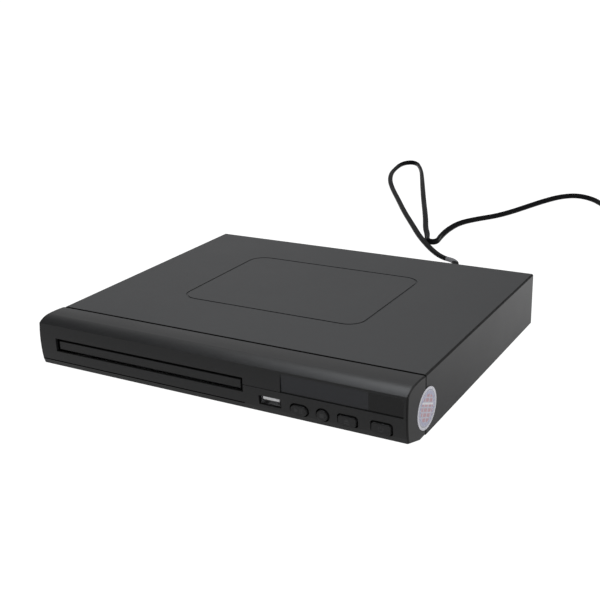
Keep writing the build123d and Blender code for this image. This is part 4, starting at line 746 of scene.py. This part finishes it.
# %% Metal parts and the lens
METAL = {       # nodes, colour, roughness
    "motor_can": (("loading_motor", "spindle_motor", "sled_motor"), (0.58, 0.58, 0.58), 0.30),
    "bridge_steel": (("clamp_bridge",), (0.56, 0.56, 0.58), 0.36),
    "chassis_steel": (("swing_chassis",), (0.50, 0.50, 0.52), 0.38),
    "ground_rod": (("guide_rods",), (0.72, 0.72, 0.73), 0.14),
    "magnet_dark": (("clamp_magnet",), (0.14, 0.14, 0.15), 0.50),
    "pickup_casting": (("pickup_sled",), (0.30, 0.30, 0.32), 0.48),
    "heat_sink_metal": (("heat_sink",), (0.52, 0.53, 0.55), 0.36),
}
for name, (members, colour, roughness) in METAL.items():
    dress(finish(name, colour, roughness, effect=DRAWN, size=2400.0, depth=0.12, metallic=1.0),
          *members)
dress(finish("lens_glass", (0.30, 0.34, 0.62), 0.05, size=900.0, depth=0.0, uneven=0.02,
             transmission_weight=0.6, ior=1.5), "objective_lens")
print("metal finishes:", len(METAL), "and the lens")

# %% [markdown]
# ## Boards and what is soldered to them
# The main board has a green solder mask, and the power and button boards are plain brown paper
# laminate, as in most cheap players. What stands on them is told apart by colour and gloss:
# dull black chips, cream connectors, shiny sleeves, the yellow tape of the winding.

# %% Board finishes
BOARDS = {      # nodes, colour, roughness, grain, how far the colour wavers
    "solder_mask": (("main_board",), (0.020, 0.085, 0.035), 0.28, 420.0, 0.35),
    "paper_laminate": (("power_board", "front_board"), (0.30, 0.20, 0.09), 0.50, 380.0, 0.25),
    "chip_black": (("board_chips", "display_module", "ir_receiver"), (0.018, 0.018, 0.020),
                   0.55, 2600.0, 0.10),
    "connector_white": (("board_connectors", "tact_switches"), (0.66, 0.64, 0.58),
                        0.45, 1800.0, 0.05),
    "capacitor_sleeve": (("capacitors",), (0.018, 0.024, 0.050), 0.25, 1400.0, 0.10),
    "ferrite": (("transformer",), (0.040, 0.040, 0.044), 0.65, 1600.0, 0.12),
    "winding_tape": (("transformer_winding",), (0.62, 0.46, 0.08), 0.30, 700.0, 0.10),
    "ribbon_film": (("ribbon_cable",), (0.66, 0.66, 0.64), 0.30, 1500.0, 0.08),
}
for name, (members, colour, roughness, size, tone) in BOARDS.items():
    dress(finish(name, colour, roughness, size=size, depth=0.15, tone=tone, dust=0.15), *members)
print("board finishes:", len(BOARDS))

# %% [markdown]
# ## Collars of the phono sockets
# The three collars on the rear panel have the usual signal colours. They are one CAD node, so
# the colour changes along x: a ramp of flat steps, each beginning between two sockets.

# %% Collars
COLLARS = [(40.0, (0.62, 0.45, 0.03)), (66.0, (0.66, 0.65, 0.62)), (82.0, (0.45, 0.02, 0.02))]


def steps_along(tree, axis, stops):
    """A colour ramp of flat steps along one axis of the model, at places in millimetres."""
    low, high = stops[0][0], stops[-1][0] + 1.0
    ramp = add(tree, "ShaderNodeValToRGB")
    ramp.color_ramp.interpolation = "CONSTANT"
    while len(ramp.color_ramp.elements) < len(stops):
        ramp.color_ramp.elements.new(1.0)
    for element, (where, colour) in zip(ramp.color_ramp.elements, stops):
        element.position = (where - low) / (high - low)
        element.color = (*colour, 1.0)
    feed(tree, ramp.inputs["Fac"], graded(tree, axes_of(tree)[axis], low * MM, high * MM))
    return ramp.outputs["Color"]


collar_plastic = finish("collar_plastic", (0.6, 0.6, 0.6), 0.32, size=2400.0, depth=0.08)
tree, inputs = parts_of(collar_plastic)
feed(tree, inputs["Base Color"], steps_along(tree, "X", COLLARS))
dress(collar_plastic, "av_collars")
print("collars:", len(COLLARS))

# %% [markdown]
# ## The seal sticker
# A small oval of metallised film holds the seam shut. It reads as a pale lilac rim round a
# ring of blue-grey dots and a middle of small red squares. The print here is only generic: rings,
# dots and squares worked out from the distance and the angle to the middle of the oval. It was
# stuck on a little turned, so the squares have axes of their own.

# %% Places on the sticker
TURNED = math.radians(-24.7)
low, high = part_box("seal_label")
seal_middle, seal_half = (low + high) / 2, (high - low) / 2
seal_film = finish("seal_film", (0.60, 0.58, 0.66), 0.22, size=1500.0, depth=0.02, uneven=0.05,
                   metallic=0.35)
tree, inputs = parts_of(seal_film)
place = axes_of(tree)


def from_middle(axis):
    """How far a place is from the middle of the oval along an axis; its rim is at 1."""
    offset = math_node(tree, "SUBTRACT", place[axis], seal_middle[axis])
    return math_node(tree, "DIVIDE", offset, seal_half[axis])


across, upward = from_middle(1), from_middle(2)     # along y and z
angle = math_node(tree, "ARCTAN2", upward, across)
squared = math_node(tree, "ADD", times(tree, across, across), times(tree, upward, upward))
radius = math_node(tree, "SQRT", squared)
cosine, sine = math.cos(TURNED), math.sin(TURNED)
along = math_node(tree, "ADD", times(tree, across, cosine), times(tree, upward, sine))
raised = math_node(tree, "SUBTRACT", times(tree, upward, cosine), times(tree, across, sine))
print(f"sticker {2 * seal_half.y / MM:.1f} by {2 * seal_half.z / MM:.1f} mm")

# %% Print of the sticker
MIDDLE, DOT_RING, RIM, RIM_LINE = 0.66, 0.80, 0.86, (0.84, 0.87)    # shares of the radius
SQUARES = ((along, 2.3, 0.24), (raised, 4.4, 0.30))                 # axis, count, gap
DOT_COUNT, DOT = 26, (0.22, 0.78)
WHITE_BAR = 0.17, 0.25

squares = 1.0
for axis, count, gap in SQUARES:
    cell = math_node(tree, "FRACT", times(tree, axis, count))
    squares = times(tree, squares, above(tree, cell, gap))
inside = below(tree, radius, MIDDLE)
turns = math_node(tree, "FRACT", times(tree, angle, DOT_COUNT / (2 * math.pi)))
dots = times(tree, band(tree, radius, MIDDLE, DOT_RING), band(tree, turns, *DOT))
white_bar = times(tree, band(tree, raised, *WHITE_BAR), inside)
film = (0.70, 0.70, 0.76)
for mask, ink in ((below(tree, radius, RIM), (0.55, 0.55, 0.64)),
                  (times(tree, squares, inside), (0.55, 0.36, 0.40)),
                  (dots, (0.42, 0.43, 0.60)),
                  (band(tree, radius, *RIM_LINE), (0.30, 0.31, 0.36)),
                  (white_bar, (0.80, 0.80, 0.84))):
    film = mixed(tree, "RGBA", mask, film, ink)
feed(tree, inputs["Base Color"], film)
dress(seal_film, "seal_label")
print("dots round the sticker:", DOT_COUNT)

# %% [markdown]
# ## Signs on the buttons
# Players carry the same few signs everywhere: a triangle with two bars, a square, a triangle
# over a bar, a ring with a stroke. They are moulded a few hundredths of a millimetre proud, so
# they only show as a fine change of light. Paint or a bump would lose that in a close view, so
# each is a tiny extruded outline that rides on its own button.

# %% Making a sign
SIGN_PROUD, SIGN_SUNK = 0.06, 0.02          # before and behind the cap's face, mm
sign_moulding = finish("sign_moulding", (0.030, 0.030, 0.031), 0.30, size=3600.0, depth=0.05)


def sign_piece(name, loops, button):
    """Flat loops (x, z in millimetres round the cap's middle), raised from the cap's face."""
    low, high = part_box(button)
    middle = (low + high) / 2
    mesh = bmesh.new()
    for loop in loops:
        front, back = (
            [mesh.verts.new((middle.x + x * MM, low.y + depth * MM, middle.z + z * MM))
             for x, z in loop] for depth in (-SIGN_PROUD, SIGN_SUNK))
        mesh.faces.new(front)
        mesh.faces.new(back[::-1])
        for i in range(len(loop)):
            j = (i + 1) % len(loop)
            mesh.faces.new((front[i], back[i], back[j], front[j]))
    bmesh.ops.recalc_face_normals(mesh, faces=mesh.faces)
    data = bpy.data.meshes.new(name)
    mesh.to_mesh(data)
    mesh.free()
    made = bpy.data.objects.new(name, data)
    bpy.context.scene.collection.objects.link(made)
    dress(sign_moulding, made)
    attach(made, button)


print("signs stand", SIGN_PROUD, "mm proud")

# %% The four signs
def ring_sectors(radius, wide, start, stop, count):
    """Short four-sided pieces that make an open ring, between two angles in degrees."""
    step = (stop - start) / count
    sectors = []
    for i in range(count):
        a, b = (math.radians(start + k * step) for k in (i, i + 1))
        corners = ((radius, a), (radius, b), (radius - wide, b), (radius - wide, a))
        sectors.append([(r * math.sin(t), r * math.cos(t)) for r, t in corners])
    return sectors


def bar(x0, x1, z0, z1):
    """A four-sided bar."""
    return [(x0, z0), (x1, z0), (x1, z1), (x0, z1)]


SIGNS = {
    "play": [[(-2.6, -1.5), (0.0, 0.0), (-2.6, 1.5)], bar(0.8, 1.4, -1.5, 1.5),
             bar(2.0, 2.6, -1.5, 1.5)],
    "stop": [bar(-1.3, 1.3, -1.3, 1.3)],
    "eject": [[(-1.9, -0.3), (1.9, -0.3), (0.0, 1.6)], bar(-1.9, 1.9, -1.6, -0.9)],
    "power": ring_sectors(1.7, 0.45, 35, 325, 20) + [bar(-0.22, 0.22, 0.2, 2.0)],
}
for label, loops in SIGNS.items():
    sign_piece(f"{label}_sign", loops, f"{label}_button")
print("signs:", len(SIGNS))
